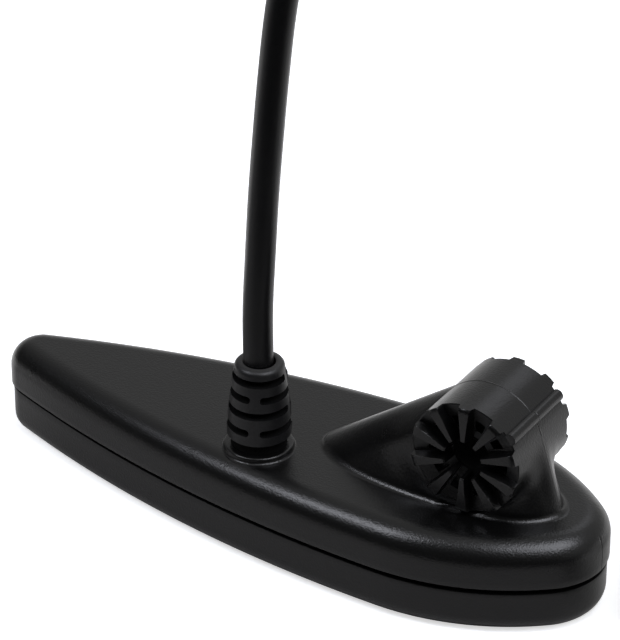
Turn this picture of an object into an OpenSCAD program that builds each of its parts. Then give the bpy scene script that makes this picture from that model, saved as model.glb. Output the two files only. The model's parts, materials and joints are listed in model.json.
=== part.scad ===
// Transom-mount sonar transducer with its cable, put away in a tied hank, and its plug.
// Millimetres. The body stands on z = 0 with its nose towards +X, and the pivot
// knuckle on its back has its bore along Y.

/* [Body] */
// Length of the body from tail to nose
body_length = 138; // [115:1:170]
// Greatest width of the body
body_width = 45.8; // [42:0.2:56]
// Radius of the nose in plan
nose_radius = 15.9; // [13:0.1:19]
// Angle that the nose arc sweeps on each side
nose_sweep = 57.4; // [46:0.2:64]
// Radius of the tail in plan
tail_radius = 6.6; // [6:0.1:9]
// Height of the flat top above the floor
body_height = 20.4; // [20:0.1:28]
// Height of the seam between the two housings
seam_height = 10.7; // [9.4:0.1:13]
// Radius of the rounded top edge
top_round = 5.2; // [3:0.1:5.6]
// Radius of the rounded bottom edge
bottom_round = 4.6; // [3:0.1:5.6]
// Step by which the lower housing stands inside the upper one
lower_inset = 0.6; // [0.3:0.1:1]
// Height of the open groove along the seam
seam_gap = 0.5; // [0.3:0.1:1]
// Depth of the open groove along the seam
seam_depth = 1.2; // [0.8:0.1:1.6]
// Thickness of the housing walls
wall = 2.4; // [2:0.1:3]
// Thickness of the sounding window in the base
window = 2.5; // [1.5:0.1:3.5]
// Height of the locating lip above the seam
lip_height = 2; // [1:0.1:3]
// Thickness of the locating lip
lip_wall = 1; // [0.8:0.1:1.4]
// Clearance of the glued locating lip
lip_clearance = 0.1; // [0.05:0.01:0.2]

/* [Knuckle] */
// Place of the pivot axis along the body
knuckle_x = 44.1; // [36:0.1:46]
// Height of the pivot axis above the flat top
knuckle_rise = 12.8; // [12:0.1:16]
// Radius of the knuckle
knuckle_radius = 11.6; // [9.8:0.1:12]
// Width of the knuckle over the ribs of both ends
knuckle_width = 22.4; // [18:0.2:27]
// Ribs on each end face
rib_count = 10; // [8:2:14]
// Height of the ribs above the end face
rib_height = 1.5; // [1:0.1:2]
// Width of a rib at the rim
rib_rim_width = 2.5; // [1.8:0.1:3]
// Width of a rib at its inner end
rib_inner_width = 0.9; // [0.6:0.1:1.4]
// Radius at which the ribs start
rib_start = 4.2; // [4:0.1:5]
// Diameter of the pivot bore
pivot_bore = 6.8; // [5.6:0.1:7.6]
// Depth of the pockets between the ribs
pocket_depth = 1.6; // [0.8:0.1:2.4]
// Height of the locating bead along the knuckle
bead_height = 0.7; // [0.4:0.1:1]
// Width of the locating bead
bead_width = 2; // [1.4:0.1:2.6]

/* [Fairing] */
// Place of the fairing's aft point
fairing_aft = 6.8; // [2:0.1:14]
// Place of the fairing's front point
fairing_front = 59; // [58:0.1:61]
// Width of the fairing at the flat top
fairing_width = 18; // [14:0.2:19]
// Size of the fillet round the foot of the fairing
fairing_fillet = 0.9; // [0.5:0.1:1.4]

/* [Strain relief boot] */
// Place of the boot along the body
boot_x = -2.5; // [-4:0.1:-1]
// Place of the boot across the body
boot_y = -10; // [-10:0.1:-8]
// Height of the boot above the flat top
boot_height = 20; // [17:0.1:24]
// Diameter of the boot at its top
boot_top_diameter = 10.7; // [10:0.1:11.4]
// Diameter of the boot at its foot
boot_foot_diameter = 13.2; // [12:0.1:13.6]
// Diameter of the seating flange on the collar
boot_flange_diameter = 13.8; // [13:0.1:14.2]
// Thickness of each boot flange
boot_flange = 0.7; // [0.5:0.1:1]
// Diameter of the neck through the housing
boot_neck_diameter = 11; // [10:0.1:11.4]
// Diameter of the flange inside the housing
boot_inner_diameter = 13; // [12:0.1:13]
// Thickness of the flange inside the housing
boot_inner_flange = 1.6; // [1:0.1:2]
// Radial clearance of the neck in its hole
neck_clearance = 0.05; // [0.02:0.01:0.1]
// Diameter of the raised collar on the housing
collar_diameter = 15; // [14.4:0.1:16]
// Height of the raised collar
collar_height = 1.2; // [0.8:0.1:1.6]
// Levels of slots in the boot
slot_levels = 5; // [3:1:5]
// Height of a slot
slot_height = 1.4; // [1:0.1:1.8]
// Distance from one slot level to the next
slot_pitch = 3.6; // [3.2:0.1:4]
// Height of the lowest slot above the flat top
slot_start = 2.9; // [2.8:0.1:3.4]
// Depth of a slot
slot_depth = 1.6; // [1:0.1:1.8]
// Angle that each of a level's two slots sweeps
slot_sweep = 160; // [110:5:160]
// Turn of the slots about the boot, from the nose
slot_turn = -67; // [-180:1:180]

/* [Cable] */
// Diameter of the cable
cable_diameter = 6; // [5:0.1:6.4]
// Sides of the cable tubes that aren't wound
cable_sides = 10; // [8:1:12]

/* [Transducer element] */
// Place of the element along the body
disc_x = 24; // [22:0.5:27]
// Diameter of the piezo disc
disc_diameter = 25.4; // [20:0.2:27]
// Thickness of the piezo disc
disc_thickness = 10; // [7:0.1:10.6]
// Wall of the cork sleeve round the disc
sleeve_wall = 2.6; // [1.5:0.1:3]
// Thickness of the cork backing
backing_thickness = 2.6; // [1.5:0.1:2.8]
// Diameter of the lead holes in the backing
lead_hole = 2.4; // [1.8:0.1:3]
// Height of the potting resin above the floor
potting_level = 8.6; // [6:0.1:9]

/* [Electrical pieces] */
// Place of the matching transformer along the body
transformer_x = -21; // [-23:0.5:-19]
// Place of the matching transformer across the body
transformer_y = 5; // [3:0.5:6]
// Diameter of the transformer core
core_diameter = 14; // [11:0.2:15]
// Height of the transformer core
core_height = 8.4; // [7:0.1:9]
// Wall of the transformer core
core_wall = 1.6; // [1.2:0.1:2]
// Diameter of the transformer's centre post
core_post = 5; // [4:0.1:6]
// Length of the terminal board
board_length = 18; // [15:0.5:20]
// Width of the terminal board
board_width = 14; // [13:0.5:16]
// Thickness of the terminal board
board_thickness = 1.6; // [1:0.1:2]
// Place of the terminal board's middle along the body
board_x = -39; // [-42:0.5:-38]
// Diameter of an insulated lead
lead_diameter = 1.2; // [0.8:0.1:1.3]
// Place of the thermistor along the body
thermistor_x = 54; // [50:0.5:57]
// Diameter of the thermistor bead
thermistor_diameter = 2.4; // [2:0.1:3.2]
// Outer diameter of the crimped cable anchor
anchor_diameter = 9; // [8:0.1:10]
// Length of the crimped cable anchor
anchor_length = 2; // [1.5:0.1:2.4]

/* [Hank] */
// Room between the nose and the hank
hank_room = 2.4; // [1:0.1:20]
// Place of the hank's middle across the body
hank_y = 18; // [0:1:40]
// Half length of the straight runs
hank_run = 38; // [30:0.5:60]
// Radius of the innermost fold
fold_radius = 18; // [18:0.5:24]
// Distance from one loop to the next
loop_step = 6.65; // [6.65:0.05:8]
// Distance from one layer to the next
layer_step = 6.6; // [6.5:0.1:8]
// How far the loops are drawn in at the waist
waist_draw = 5; // [0:0.5:5]
// Width of the tie
tie_width = 12; // [8:0.5:20]
// Thickness of the tie
tie_thickness = 1; // [0.8:0.1:1.6]
// Room between the tie and the loops
tie_clearance = 0.2; // [0.1:0.1:0.6]

/* [Plug] */
// Length of the plug's boot
plug_boot_length = 22; // [16:0.5:28]
// Diameter of the plug's boot where the cable enters
plug_boot_tip = 8.6; // [8:0.1:10]
// Diameter of the plug's boot where it meets the body
plug_boot_root = 13; // [11:0.1:14]
// Diameter of the plug body
plug_body_diameter = 16; // [14:0.1:17]
// Length of the plug body's grip
plug_grip_length = 14; // [10:0.5:20]
// Length of the journal that the coupling ring turns on
journal_length = 8; // [6:0.5:12]
// Diameter of the journal
journal_diameter = 14.4; // [13.4:0.1:15]
// Length of the plug's nose in front of the journal
nose_length = 14; // [12:0.5:18]
// Diameter of the plug's nose
plug_nose_diameter = 12.4; // [11.4:0.1:13]
// Wall of the plug's nose
nose_wall = 1.2; // [1:0.1:1.6]
// Diameter of the coupling ring
ring_diameter = 21; // [20:0.2:24]
// Radial clearance of the coupling ring on its journal
ring_clearance = 0.05; // [0.03:0.01:0.08]
// Room at each end of the coupling ring's bearing
ring_end_play = 0.3; // [0.2:0.05:0.5]
// Diameter of the threaded mouth of the coupling ring
ring_mouth = 17.4; // [16.8:0.1:18]
// Grip ribs round the coupling ring
grip_ribs = 18; // [12:1:24]
// Height of the grip ribs
grip_height = 0.7; // [0.4:0.1:1]
// Diameter of a contact pin
pin_diameter = 1.6; // [1:0.1:1.8]
// Radius of the circle that the pins stand on
pin_circle = 3.1; // [2.6:0.1:3.4]
// Length of a pin in front of the insert
pin_reach = 7; // [5:0.1:9]
// Thickness of the pin insert
insert_thickness = 5; // [3:0.1:7]
// Thickness of the sealing ring on the nose
seal_thickness = 1.4; // [1:0.1:1.8]

/* [Hidden] */
$fn = 64;
// Depth by which joined shapes run into each other and cuts run past a face
bite = 1;
// Heights inside the body
ceiling = body_height - wall;
lower_rim = seam_height - seam_gap / 2;
upper_rim = seam_height + seam_gap / 2;
lower_wall = wall + lip_clearance + lip_wall;
disc_top = window + disc_thickness;
backing_top = disc_top + backing_thickness;
sleeve_diameter = disc_diameter + 2 * sleeve_wall;
inner_round = 2;
// Arcs of the outline: nose, side, taper and tail, each tangent to the next
side_radius = (body_width / 2 - nose_radius * sin(nose_sweep)) / (1 - sin(nose_sweep));
nose_centre = [body_length / 2 - nose_radius, 0];
side_centre = nose_centre + (nose_radius - side_radius) * [cos(nose_sweep), sin(nose_sweep)];
taper_run = side_centre.x + body_length / 2 - tail_radius;
taper_radius = (pow(taper_run, 2) + pow(body_width / 2, 2) - pow(tail_radius, 2))
    / (body_width - 2 * tail_radius);
taper_centre = [side_centre.x, body_width / 2 - taper_radius];
tail_centre = [tail_radius - body_length / 2, 0];
taper_end = atan2(taper_radius - body_width / 2, -taper_run);
nose_steps = 7;
side_steps = 5;
taper_steps = 6;
tail_steps = 6;
round_steps = 5;
// Knuckle and fairing
knuckle_z = body_height + knuckle_rise;
end_face = knuckle_width / 2 - rib_height;
rib_end = knuckle_radius - 0.2;
rib_pitch = 360 / rib_count;
pocket_start = rib_start + 2;
pocket_length = 2.4;
pocket_width = 1.7;
// The ridges run a little way into the knuckle
ridge_reach = 0.97 * knuckle_radius;
aft_lean = ridge_lean(knuckle_x - fairing_aft);
front_lean = ridge_lean(fairing_front - knuckle_x);
fairing_top = knuckle_z + ridge_reach * cos(aft_lean);
front_touch = knuckle_z + ridge_reach * cos(front_lean);
fairing_levels = 7;
fairing_points = 12;
fairing_middle = 0.55;
aft_power = 0.46;
front_power = 0.42;
// Boot
collar_top = body_height + collar_height;
boot_top = body_height + boot_height;
boot_seat = ceiling - boot_inner_flange;
boot_foot = collar_top + boot_flange;
// Leads
cable_end = boot_seat - anchor_length;
lead_level = ceiling - lead_diameter - 0.2;
conductor_level = cable_end - lead_diameter;
transformer_level = (lead_level + conductor_level) / 2;
board_top = potting_level + board_thickness;
conductor_spacing = 1.4;
terminal_spacing = 3.2;
conductor_row = board_x + board_length / 2 - 2.5;
lead_row = board_x - board_length / 2 + 2.5;
ground_offset = disc_diameter / 2 - 3.7;
sensor_side = 12;
lead_bend = 1;
corner_steps = 3;
lead_sides = 8;
core_slot = 2.4;
// Shapes that the free stretches of cable take, from the boot over to the hank and on to the plug
stretch_shape = [
    [-2.5, -10, 40.4], [-2.5, -10, 52], [-1.9, -9.9, 64], [-1.2, -9.7, 77], [-0.2, -9.5, 90],
    [0.9, -9.2, 103], [2.4, -8.8, 117], [4.8, -8.3, 131], [8, -7.4, 145], [13.2, -5.9, 158],
    [21, -3.6, 170], [31, -0.7, 179.5], [43, 2.8, 186], [56, 6.6, 188.5], [69.5, 10.5, 186.5],
    [82, 14.2, 180], [92.3, 17.2, 170], [100, 19.5, 157.5], [105.2, 21, 144], [108.3, 22, 130],
    [110.2, 22.7, 116], [111.3, 23.2, 102], [112, 23.6, 88], [112.4, 23.9, 74],
    [112.7, 24.1, 60], [113, 24.3, 46], [114, 24.7, 34], [117.2, 25.4, 22.5],
    [123.4, 26.7, 13], [131.5, 29.2, 7.2], [142, 31, 4.2], [151, 31, 4.2]
];
lead_shape = [
    [151, 1.7, 24], [145, 1.7, 24], [136, 0.4, 25.4], [127, -2.4, 29], [118.5, -4, 32.6],
    [107.7, -1.5, 35.4], [99, 5.4, 37.2], [94.1, 15.4, 37.9], [94.1, 26.6, 38], [99, 36.6, 38],
    [107.7, 43.5, 38], [118.5, 46, 38], [122, 46, 38], [128, 46, 38]
];
stretch_plane = [-0.28, 0.96, 0];
upright = [0, 0, 1];
// Hank
layer_loops = 4;
outer_fold = fold_radius + layer_loops * loop_step;
hank_x = body_length / 2 + hank_room + cable_diameter / 2 + outer_fold + hank_run;
hank_base = tie_thickness + tie_clearance + cable_diameter / 2;
hank_turns = 4 * layer_loops - 0.5;
loop_rings = 24;
hank_sides = 6;
run_share = 1 / 6;
tie_waist = outer_fold - drawn_in(tie_width / 2);
tie_reach = tie_waist + cable_diameter / 2 + tie_clearance;
tie_height = hank_base + 3 * layer_step + cable_diameter / 2 + tie_clearance + tie_thickness;
tie_corner = cable_diameter / 2 + tie_clearance + tie_thickness;
end_straight = [cable_diameter, 0, 0];
hank_start = hank_point(0) - end_straight;
hank_finish = hank_point(hank_turns) - end_straight;
// Plug, lying on the hank along +X from the point where the cable enters its boot
plug_rest = 0.5;
plug_back = 29;
plug_side = 28;
plug_start = [
    hank_x - plug_back, hank_y + plug_side,
    tie_height - tie_thickness - tie_clearance + plug_rest + ring_diameter / 2
];
pin_count = 5;
plug_cable_stop = plug_boot_length + 6;
boot_socket = 4;
grip_end = plug_boot_length + plug_grip_length;
journal_end = grip_end + journal_length;
plug_end = journal_end + nose_length;
insert_back = journal_end - insert_thickness;
clip_width = 1;
clip_depth = 0.6;
clip_back = journal_end - clip_width;
ring_end = plug_end - 3;
seal_place = journal_end + 4;
seal_groove = 0.5;

// Angle from level of a ridge that rises from the flat top to touch the knuckle
function ridge_lean(run) =
    atan2(knuckle_rise, run) + asin(ridge_reach / norm([run, knuckle_rise]));

// One arc of the outline, drawn in by inset, between two angles of its outward normal
function arc(centre, radius, inset, from, to, steps) =
    [for (i = [1:steps]) let (a = from + (to - from) * i / steps)
        centre + (radius - inset) * [cos(a), sin(a)]];

function half_outline(inset) = concat(
    arc(nose_centre, nose_radius, inset, 0, nose_sweep, nose_steps),
    arc(side_centre, side_radius, inset, nose_sweep, 90, side_steps),
    arc(taper_centre, taper_radius, inset, 90, taper_end, taper_steps),
    arc(tail_centre, tail_radius, inset, taper_end, 180, tail_steps)
);

// The whole outline, anticlockwise from just past the nose round to the nose
function outline(inset) = let (half = half_outline(inset), n = len(half)) concat(
    half,
    [for (i = [2:n]) [half[n - i].x, -half[n - i].y]],
    [[body_length / 2 - inset, 0]]
);

// Insets and heights round a rounded edge that ends at a given height
function rounded_edge(inset, radius, top) = [for (i = [0:round_steps]) let (a = 90 * i / round_steps)
    [inset + radius * (1 - cos(a)), top - radius * (1 - sin(a))]];

// A solid through rings of points that all have the same number of points
module skin(rings) {
    n = len(rings[0]);
    last = len(rings) - 1;
    polyhedron(
        [for (ring = rings) each ring],
        concat(
            [[for (i = [0:n - 1]) i]],
            [for (k = [0:last - 1]) for (i = [0:n - 1]) let (low = k * n, j = (i + 1) % n)
                each [[low + i, low + n + j, low + j], [low + i, low + n + i, low + n + j]]],
            [[for (i = [0:n - 1]) last * n + n - 1 - i]]
        )
    );
}

// A solid whose rings are the outline drawn in by each level's inset, at its height
module loft(levels) {
    skin([for (level = levels) [for (p = outline(level[0])) [p.x, p.y, level[1]]]]);
}

function unit(v) = v / norm(v);
function direction(points, i) = let (last = len(points) - 1)
    unit(points[min(i + 1, last)] - points[max(i - 1, 0)]);

// A route of the given shape, moved so that its straight ends lie at start and finish
function placed(shape, start, finish) = let (last = len(shape) - 1)
    [for (i = [0:last]) let (s = ease((i - 1) / (last - 2)))
        shape[i] + (1 - s) * (start - shape[0]) + s * (finish - shape[last])];

function ease(f) = let (s = min(max(f, 0), 1)) s * s * (3 - 2 * s);

// A tube of round section along points; across is a direction that the points never follow
module tube(points, diameter, sides, across) {
    skin([for (i = [0:len(points) - 1])
        let (along = direction(points, i), side = unit(cross(across, along)), over = cross(along, side))
            [for (k = [0:sides - 1]) let (a = 360 * (k + 0.5) / sides)
                points[i] + diameter / 2 * (cos(a) * side + sin(a) * over)]]);
}

// Points round a corner at p, from a point before it to a point after it
function corner_points(before, p, after) =
    let (a = p + lead_bend * unit(before - p), b = p + lead_bend * unit(after - p))
        [for (t = [0:1 / corner_steps:1]) (1 - t) * (1 - t) * a + 2 * t * (1 - t) * p + t * t * b];

// A lead of round section with straight stretches and round bends
module lead(points) {
    last = len(points) - 1;
    bends = [for (i = [1:last - 1]) each corner_points(points[i - 1], points[i], points[i + 1])];
    tube(concat([points[0]], bends, [points[last]]), lead_diameter, lead_sides, [0, 1, 0]);
}

module at_boot() {
    translate([boot_x, boot_y, 0]) children();
}

module at_disc() {
    translate([disc_x, 0, 0]) children();
}

module at_plug() {
    translate(plug_start) rotate([0, 90, 0]) children();
}

// Pivot knuckle: a barrel with ribs and pockets on both ends
module wedge_ribs() {
    intersection() {
        for (i = [0:rib_count - 1]) rotate(90 + i * rib_pitch)
            linear_extrude(knuckle_width / 2)
                polygon([
                    [rib_start, -rib_inner_width / 2], [knuckle_radius + bite, -rib_rim_width / 2],
                    [knuckle_radius + bite, rib_rim_width / 2], [rib_start, rib_inner_width / 2]
                ]);
        translate([0, 0, end_face - bite]) cylinder(r = rib_end, h = rib_height + bite);
    }
}

module pockets() {
    for (i = [0:rib_count - 1]) rotate(90 + (i + 0.5) * rib_pitch)
        translate([pocket_start, -pocket_width / 2, end_face - pocket_depth])
            cube([pocket_length, pocket_width, pocket_depth + bite]);
}

module knuckle() {
    translate([knuckle_x, 0, knuckle_z]) rotate([90, 0, 0]) difference() {
        union() {
            translate([0, 0, -end_face]) cylinder(r = knuckle_radius, h = 2 * end_face);
            rotate(rib_pitch) translate([0, -bead_width / 2, -end_face])
                cube([knuckle_radius + bead_height, bead_width, 2 * end_face]);
            for (side = [0, 1]) mirror([0, 0, side]) wedge_ribs();
        }
        for (side = [0, 1]) mirror([0, 0, side]) pockets();
    }
}

// Half width of the fairing, as a share, at t from -1 at the aft point to 1 at the front
function fairing_share(t) = pow(max(0, 1 - t * t), t < 0 ? aft_power : front_power);

// One level of the fairing: a lens between the two ridges, grown by the fillet at its foot
function fairing_ring(z, grow) = let (
    aft = fairing_aft - grow + (z - body_height) / tan(aft_lean),
    front = z < front_touch ? fairing_front + grow - (z - body_height) / tan(front_lean)
        : knuckle_x + sqrt(pow(ridge_reach, 2) - pow(z - knuckle_z, 2)),
    middle = aft + (front - aft) * fairing_middle,
    half = [for (i = [1:fairing_points]) let (
        t = -cos(180 * i / (fairing_points + 1)),
        x = t < 0 ? middle + t * (middle - aft) : middle + t * (front - middle)
    ) [x, -(fairing_width / 2 + grow) * fairing_share(t)]]
) concat(
    [[aft, 0, z]],
    [for (p = half) [p.x, p.y, z]],
    [[front, 0, z]],
    [for (i = [1:fairing_points]) let (p = half[fairing_points - i]) [p.x, -p.y, z]]
);

module fairing() {
    foot = body_height + fairing_fillet;
    skin(concat(
        [fairing_ring(body_height - bite, fairing_fillet + bite)],
        [for (i = [0:fairing_levels]) fairing_ring(foot + (fairing_top - foot) * i / fairing_levels, 0)]
    ));
}

// Upper housing: flat-topped shell with the collar, the fairing and the knuckle
module upper_housing() {
    color("#2b2c2e") difference() {
        union() {
            loft(concat(
                [[seam_depth, lower_rim], [seam_depth, upper_rim], [0, upper_rim]],
                rounded_edge(0, top_round, body_height)
            ));
            fairing();
            knuckle();
            at_boot() translate([0, 0, body_height - bite])
                cylinder(d = collar_diameter, h = bite + collar_height);
        }
        loft(concat([[wall, lower_rim - bite]], rounded_edge(wall, inner_round, ceiling)));
        translate([knuckle_x, knuckle_width / 2 + bite, knuckle_z]) rotate([90, 0, 0])
            cylinder(d = pivot_bore, h = knuckle_width + 2 * bite);
        at_boot() translate([0, 0, ceiling - bite])
            cylinder(d = boot_neck_diameter + 2 * neck_clearance, h = wall + collar_height + 2 * bite);
    }
}

// Lower housing: tray with the sounding window and a lip that locates the upper housing
module lower_housing() {
    lip = wall + lip_clearance;
    color("#2b2c2e") difference() {
        loft(concat(
            [for (i = [0:round_steps]) let (a = 90 * i / round_steps)
                [lower_inset + bottom_round * (1 - sin(a)), bottom_round * (1 - cos(a))]],
            [[lower_inset, lower_rim], [lip, lower_rim], [lip, lower_rim + lip_height]]
        ));
        loft([[lower_wall, window], [lower_wall, lower_rim + lip_height + bite]]);
    }
}

// Boot: seating flange, slotted taper and a flange that holds it inside the housing
module boot_slots(level, whole) {
    z = body_height + slot_start + level * slot_pitch;
    radius = boot_foot_diameter / 2;
    turn = slot_turn + (level % 2 == 1 ? 90 : 0);
    cut = whole ? 360 : slot_sweep;
    for (side = whole ? [0] : [0, 180])
        rotate_extrude(angle = cut, start = turn + side - cut / 2)
            translate([radius - slot_depth - (level + 1) * slot_taper(), z - slot_height / 2])
                square([2 * slot_depth, slot_height]);
}

function slot_taper() = (boot_foot_diameter - boot_top_diameter) / 2 / slot_levels;

module cable_boot() {
    color("#303133") at_boot() difference() {
        union() {
            translate([0, 0, boot_seat]) cylinder(d = boot_inner_diameter, h = boot_inner_flange);
            translate([0, 0, boot_seat])
                cylinder(d = boot_neck_diameter, h = collar_top - boot_seat + bite / 2);
            translate([0, 0, collar_top]) cylinder(d = boot_flange_diameter, h = boot_flange);
            translate([0, 0, boot_foot])
                cylinder(d1 = boot_foot_diameter, d2 = boot_top_diameter, h = boot_top - boot_foot);
        }
        translate([0, 0, boot_seat - bite])
            cylinder(d = cable_diameter, h = boot_top - boot_seat + 2 * bite);
        for (level = [0:slot_levels - 1]) boot_slots(level, level == 0);
    }
}

// Cable inside the boot, and the crimp that anchors it under the boot
module cable_tail() {
    color("#1f2022") at_boot() translate([0, 0, cable_end])
        cylinder(d = cable_diameter, h = boot_top - cable_end);
}

module cable_anchor() {
    color("#b9bcc0") at_boot() translate([0, 0, cable_end]) difference() {
        cylinder(d = anchor_diameter, h = anchor_length);
        translate([0, 0, -bite]) cylinder(d = cable_diameter, h = anchor_length + 2 * bite);
    }
}

// Sounding element: piezo disc in a cork sleeve, with a cork backing on top
module piezo_disc() {
    color("#c9c4b4") at_disc() translate([0, 0, window]) cylinder(d = disc_diameter, h = disc_thickness);
}

module isolation_sleeve() {
    color("#b28a5a") at_disc() translate([0, 0, window]) difference() {
        cylinder(d = sleeve_diameter, h = disc_thickness);
        translate([0, 0, -bite]) cylinder(d = disc_diameter, h = disc_thickness + 2 * bite);
    }
}

module backing_disc() {
    color("#b28a5a") at_disc() translate([0, 0, disc_top]) difference() {
        cylinder(d = sleeve_diameter, h = backing_thickness);
        for (x = [0, -ground_offset]) translate([x, 0, -bite])
            cylinder(d = lead_hole, h = backing_thickness + 2 * bite);
    }
}

// Resin that fills the tray round the sounding element, the transformer and the thermistor
module potting() {
    color("#3a3f37") difference() {
        loft([[lower_wall, window], [lower_wall, potting_level]]);
        at_disc() cylinder(d = sleeve_diameter, h = body_height);
        translate([transformer_x, transformer_y, 0]) cylinder(d = core_diameter, h = body_height);
        translate([thermistor_x, 0, 0]) cylinder(d = thermistor_diameter, h = body_height);
    }
}

module thermistor() {
    color("#27313a") translate([thermistor_x, 0, window])
        cylinder(d = thermistor_diameter, h = potting_level - window);
}

// Matching transformer: pot core with its winding inside
module at_transformer() {
    translate([transformer_x, transformer_y, window]) children();
}

module winding_space() {
    translate([0, 0, core_wall]) difference() {
        cylinder(d = core_diameter - 2 * core_wall, h = core_height - 2 * core_wall);
        translate([0, 0, -bite]) cylinder(d = core_post, h = core_height);
    }
}

module transformer_core() {
    slot_length = core_diameter / 2 + bite - core_post / 2;
    color("#3b3b3f") at_transformer() difference() {
        cylinder(d = core_diameter, h = core_height);
        winding_space();
        translate([-core_diameter / 2 - bite, -core_slot / 2, core_height - core_wall])
            cube([slot_length, core_slot, core_wall + bite]);
    }
}

module transformer_winding() {
    color("#b26b35") at_transformer() winding_space();
}

module terminal_board() {
    color("#2f6b3c") translate([board_x - board_length / 2, -board_width / 2, potting_level])
        cube([board_length, board_width, board_thickness]);
}

// Leads between the pieces: each stands on its terminal and crosses at its own level
function terminal(row, i) = [row, (i - 1.5) * terminal_spacing];
function over(p, z) = [p.x, p.y, z];

module terminal_lead(start, bends, row, i, level) {
    place = terminal(row, i);
    lead(concat(
        [start, over(start, level)],
        [for (p = bends) over(p, level)],
        [over(place, level), over(place, board_top)]
    ));
}

module live_lead() {
    color("#c0392b") terminal_lead([disc_x, 0, disc_top], [[2, 6]], lead_row, 2, lead_level);
}

module ground_lead() {
    color("#d8d8d8")
        terminal_lead([disc_x - ground_offset, 0, disc_top], [[0, 2]], lead_row, 1, lead_level);
}

module sensor_lead() {
    color("#e0c341") terminal_lead(
        [thermistor_x, 0, potting_level], [[disc_x + 16, sensor_side], [0, sensor_side]],
        lead_row, 3, lead_level
    );
}

module transformer_lead() {
    winding_middle = (core_diameter - 2 * core_wall + core_post) / 4;
    winding_top = window + core_height - core_wall;
    color("#3d6fb5") terminal_lead(
        [transformer_x - winding_middle, transformer_y, winding_top], [], lead_row, 0, transformer_level
    );
}

module conductor(i) {
    terminal_lead(
        [boot_x, boot_y + (i - 1.5) * conductor_spacing, cable_end], [],
        conductor_row, i, conductor_level
    );
}

module conductor_1() {
    color("#c0392b") conductor(0);
}

module conductor_2() {
    color("#e8e8e8") conductor(1);
}

module conductor_3() {
    color("#e0c341") conductor(2);
}

module conductor_4() {
    color("#3d6fb5") conductor(3);
}

// Cable from the boot, over and down into the middle of the hank
module cable_stretch() {
    route = placed(stretch_shape, [boot_x, boot_y, boot_top], hank_start);
    color("#1f2022") tube(route, cable_diameter, cable_sides, stretch_plane);
}

// Hank: radius, height and place of the cable after a number of turns
function hank_radius(turn) = let (layer = min(floor(turn / layer_loops), 3), f = turn - layer * layer_loops)
    fold_radius + loop_step * (layer % 2 == 0 ? f : layer_loops - f);

function layers_up(turn, layer = 1) = layer > 3 ? 0
    : ease((turn - layer * layer_loops) / run_share + 0.5) + layers_up(turn, layer + 1);

function drawn_in(x) = waist_draw * (1 + cos(180 * x / hank_run)) / 2;

function run_place(x, radius, side) = [x, side * (radius - drawn_in(x))];

function fold_place(f, radius, side) = let (a = side * 90 - 180 * f)
    [side * hank_run + radius * cos(a), radius * sin(a)];

// Each loop goes along the far run, round the front fold, back along the near run and round
function loop_place(f, radius) = let (half = run_share / 2, fold = 0.5 - run_share)
    f < half ? run_place(hank_run * f / half, radius, 1)
    : f < half + fold ? fold_place((f - half) / fold, radius, 1)
    : f < 0.5 + half ? run_place(hank_run * (0.5 - f) / half, radius, -1)
    : f < 1 - half ? fold_place((f - 0.5 - half) / fold, radius, -1)
    : run_place(hank_run * (f - 1) / half, radius, 1);

function hank_point(turn) = let (p = loop_place(turn - floor(turn), hank_radius(turn)))
    [hank_x + p.x, hank_y + p.y, hank_base + layer_step * layers_up(turn)];

function hank_points(per_loop) = let (steps = hank_turns * per_loop)
    [for (i = [0:steps]) hank_point(i / per_loop)];

// Least room between two stretches of the hank that aren't next to each other
function least_gap(points, skip) = let (last = len(points) - 1)
    min([for (i = [0:last - skip]) for (j = [i + skip:last]) norm(points[i] - points[j])])
    - cable_diameter;

module cable_hank() {
    loops = hank_points(loop_rings);
    echo(hank_gap = least_gap(hank_points(2 * loop_rings), loop_rings));
    color("#1f2022") tube(
        concat([hank_start], loops, [hank_finish]),
        cable_diameter, hank_sides, upright
    );
}

// Cable from the top of the hank round to the plug
module plug_lead() {
    route = placed(lead_shape, hank_finish, plug_start);
    color("#1f2022") tube(route, cable_diameter, cable_sides, upright);
}

// Tie round the waist of the hank
module tie_section(grow) {
    reach = tie_reach + grow;
    low = tie_thickness - grow;
    high = tie_height - tie_thickness + grow;
    corner = tie_corner - tie_thickness + grow;
    union() {
        translate([-reach, low + corner]) square([2 * reach, high - low - 2 * corner]);
        translate([corner - reach, low]) square([2 * (reach - corner), high - low]);
        for (y = [corner - reach, reach - corner]) for (z = [low + corner, high - corner])
            translate([y, z]) circle(r = corner);
    }
}

module hank_tie() {
    color("#232426") translate([hank_x - tie_width / 2, hank_y, 0])
        rotate([90, 0, 90]) linear_extrude(tie_width) difference() {
            tie_section(tie_thickness);
            tie_section(0);
        }
}

// Plug: boot, body with a journal, insert with pins, sealing ring, coupling ring and its clip
module plug_boot() {
    color("#303133") at_plug() difference() {
        union() {
            cylinder(d1 = plug_boot_tip, d2 = plug_boot_root, h = plug_boot_length);
            translate([0, 0, plug_boot_length - bite / 2])
                cylinder(d = plug_boot_root - 2, h = boot_socket + bite / 2);
        }
        translate([0, 0, -bite])
            cylinder(d = cable_diameter, h = plug_boot_length + boot_socket + 2 * bite);
    }
}

module plug_cable_end() {
    color("#1f2022") at_plug() cylinder(d = cable_diameter, h = plug_cable_stop);
}

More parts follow.
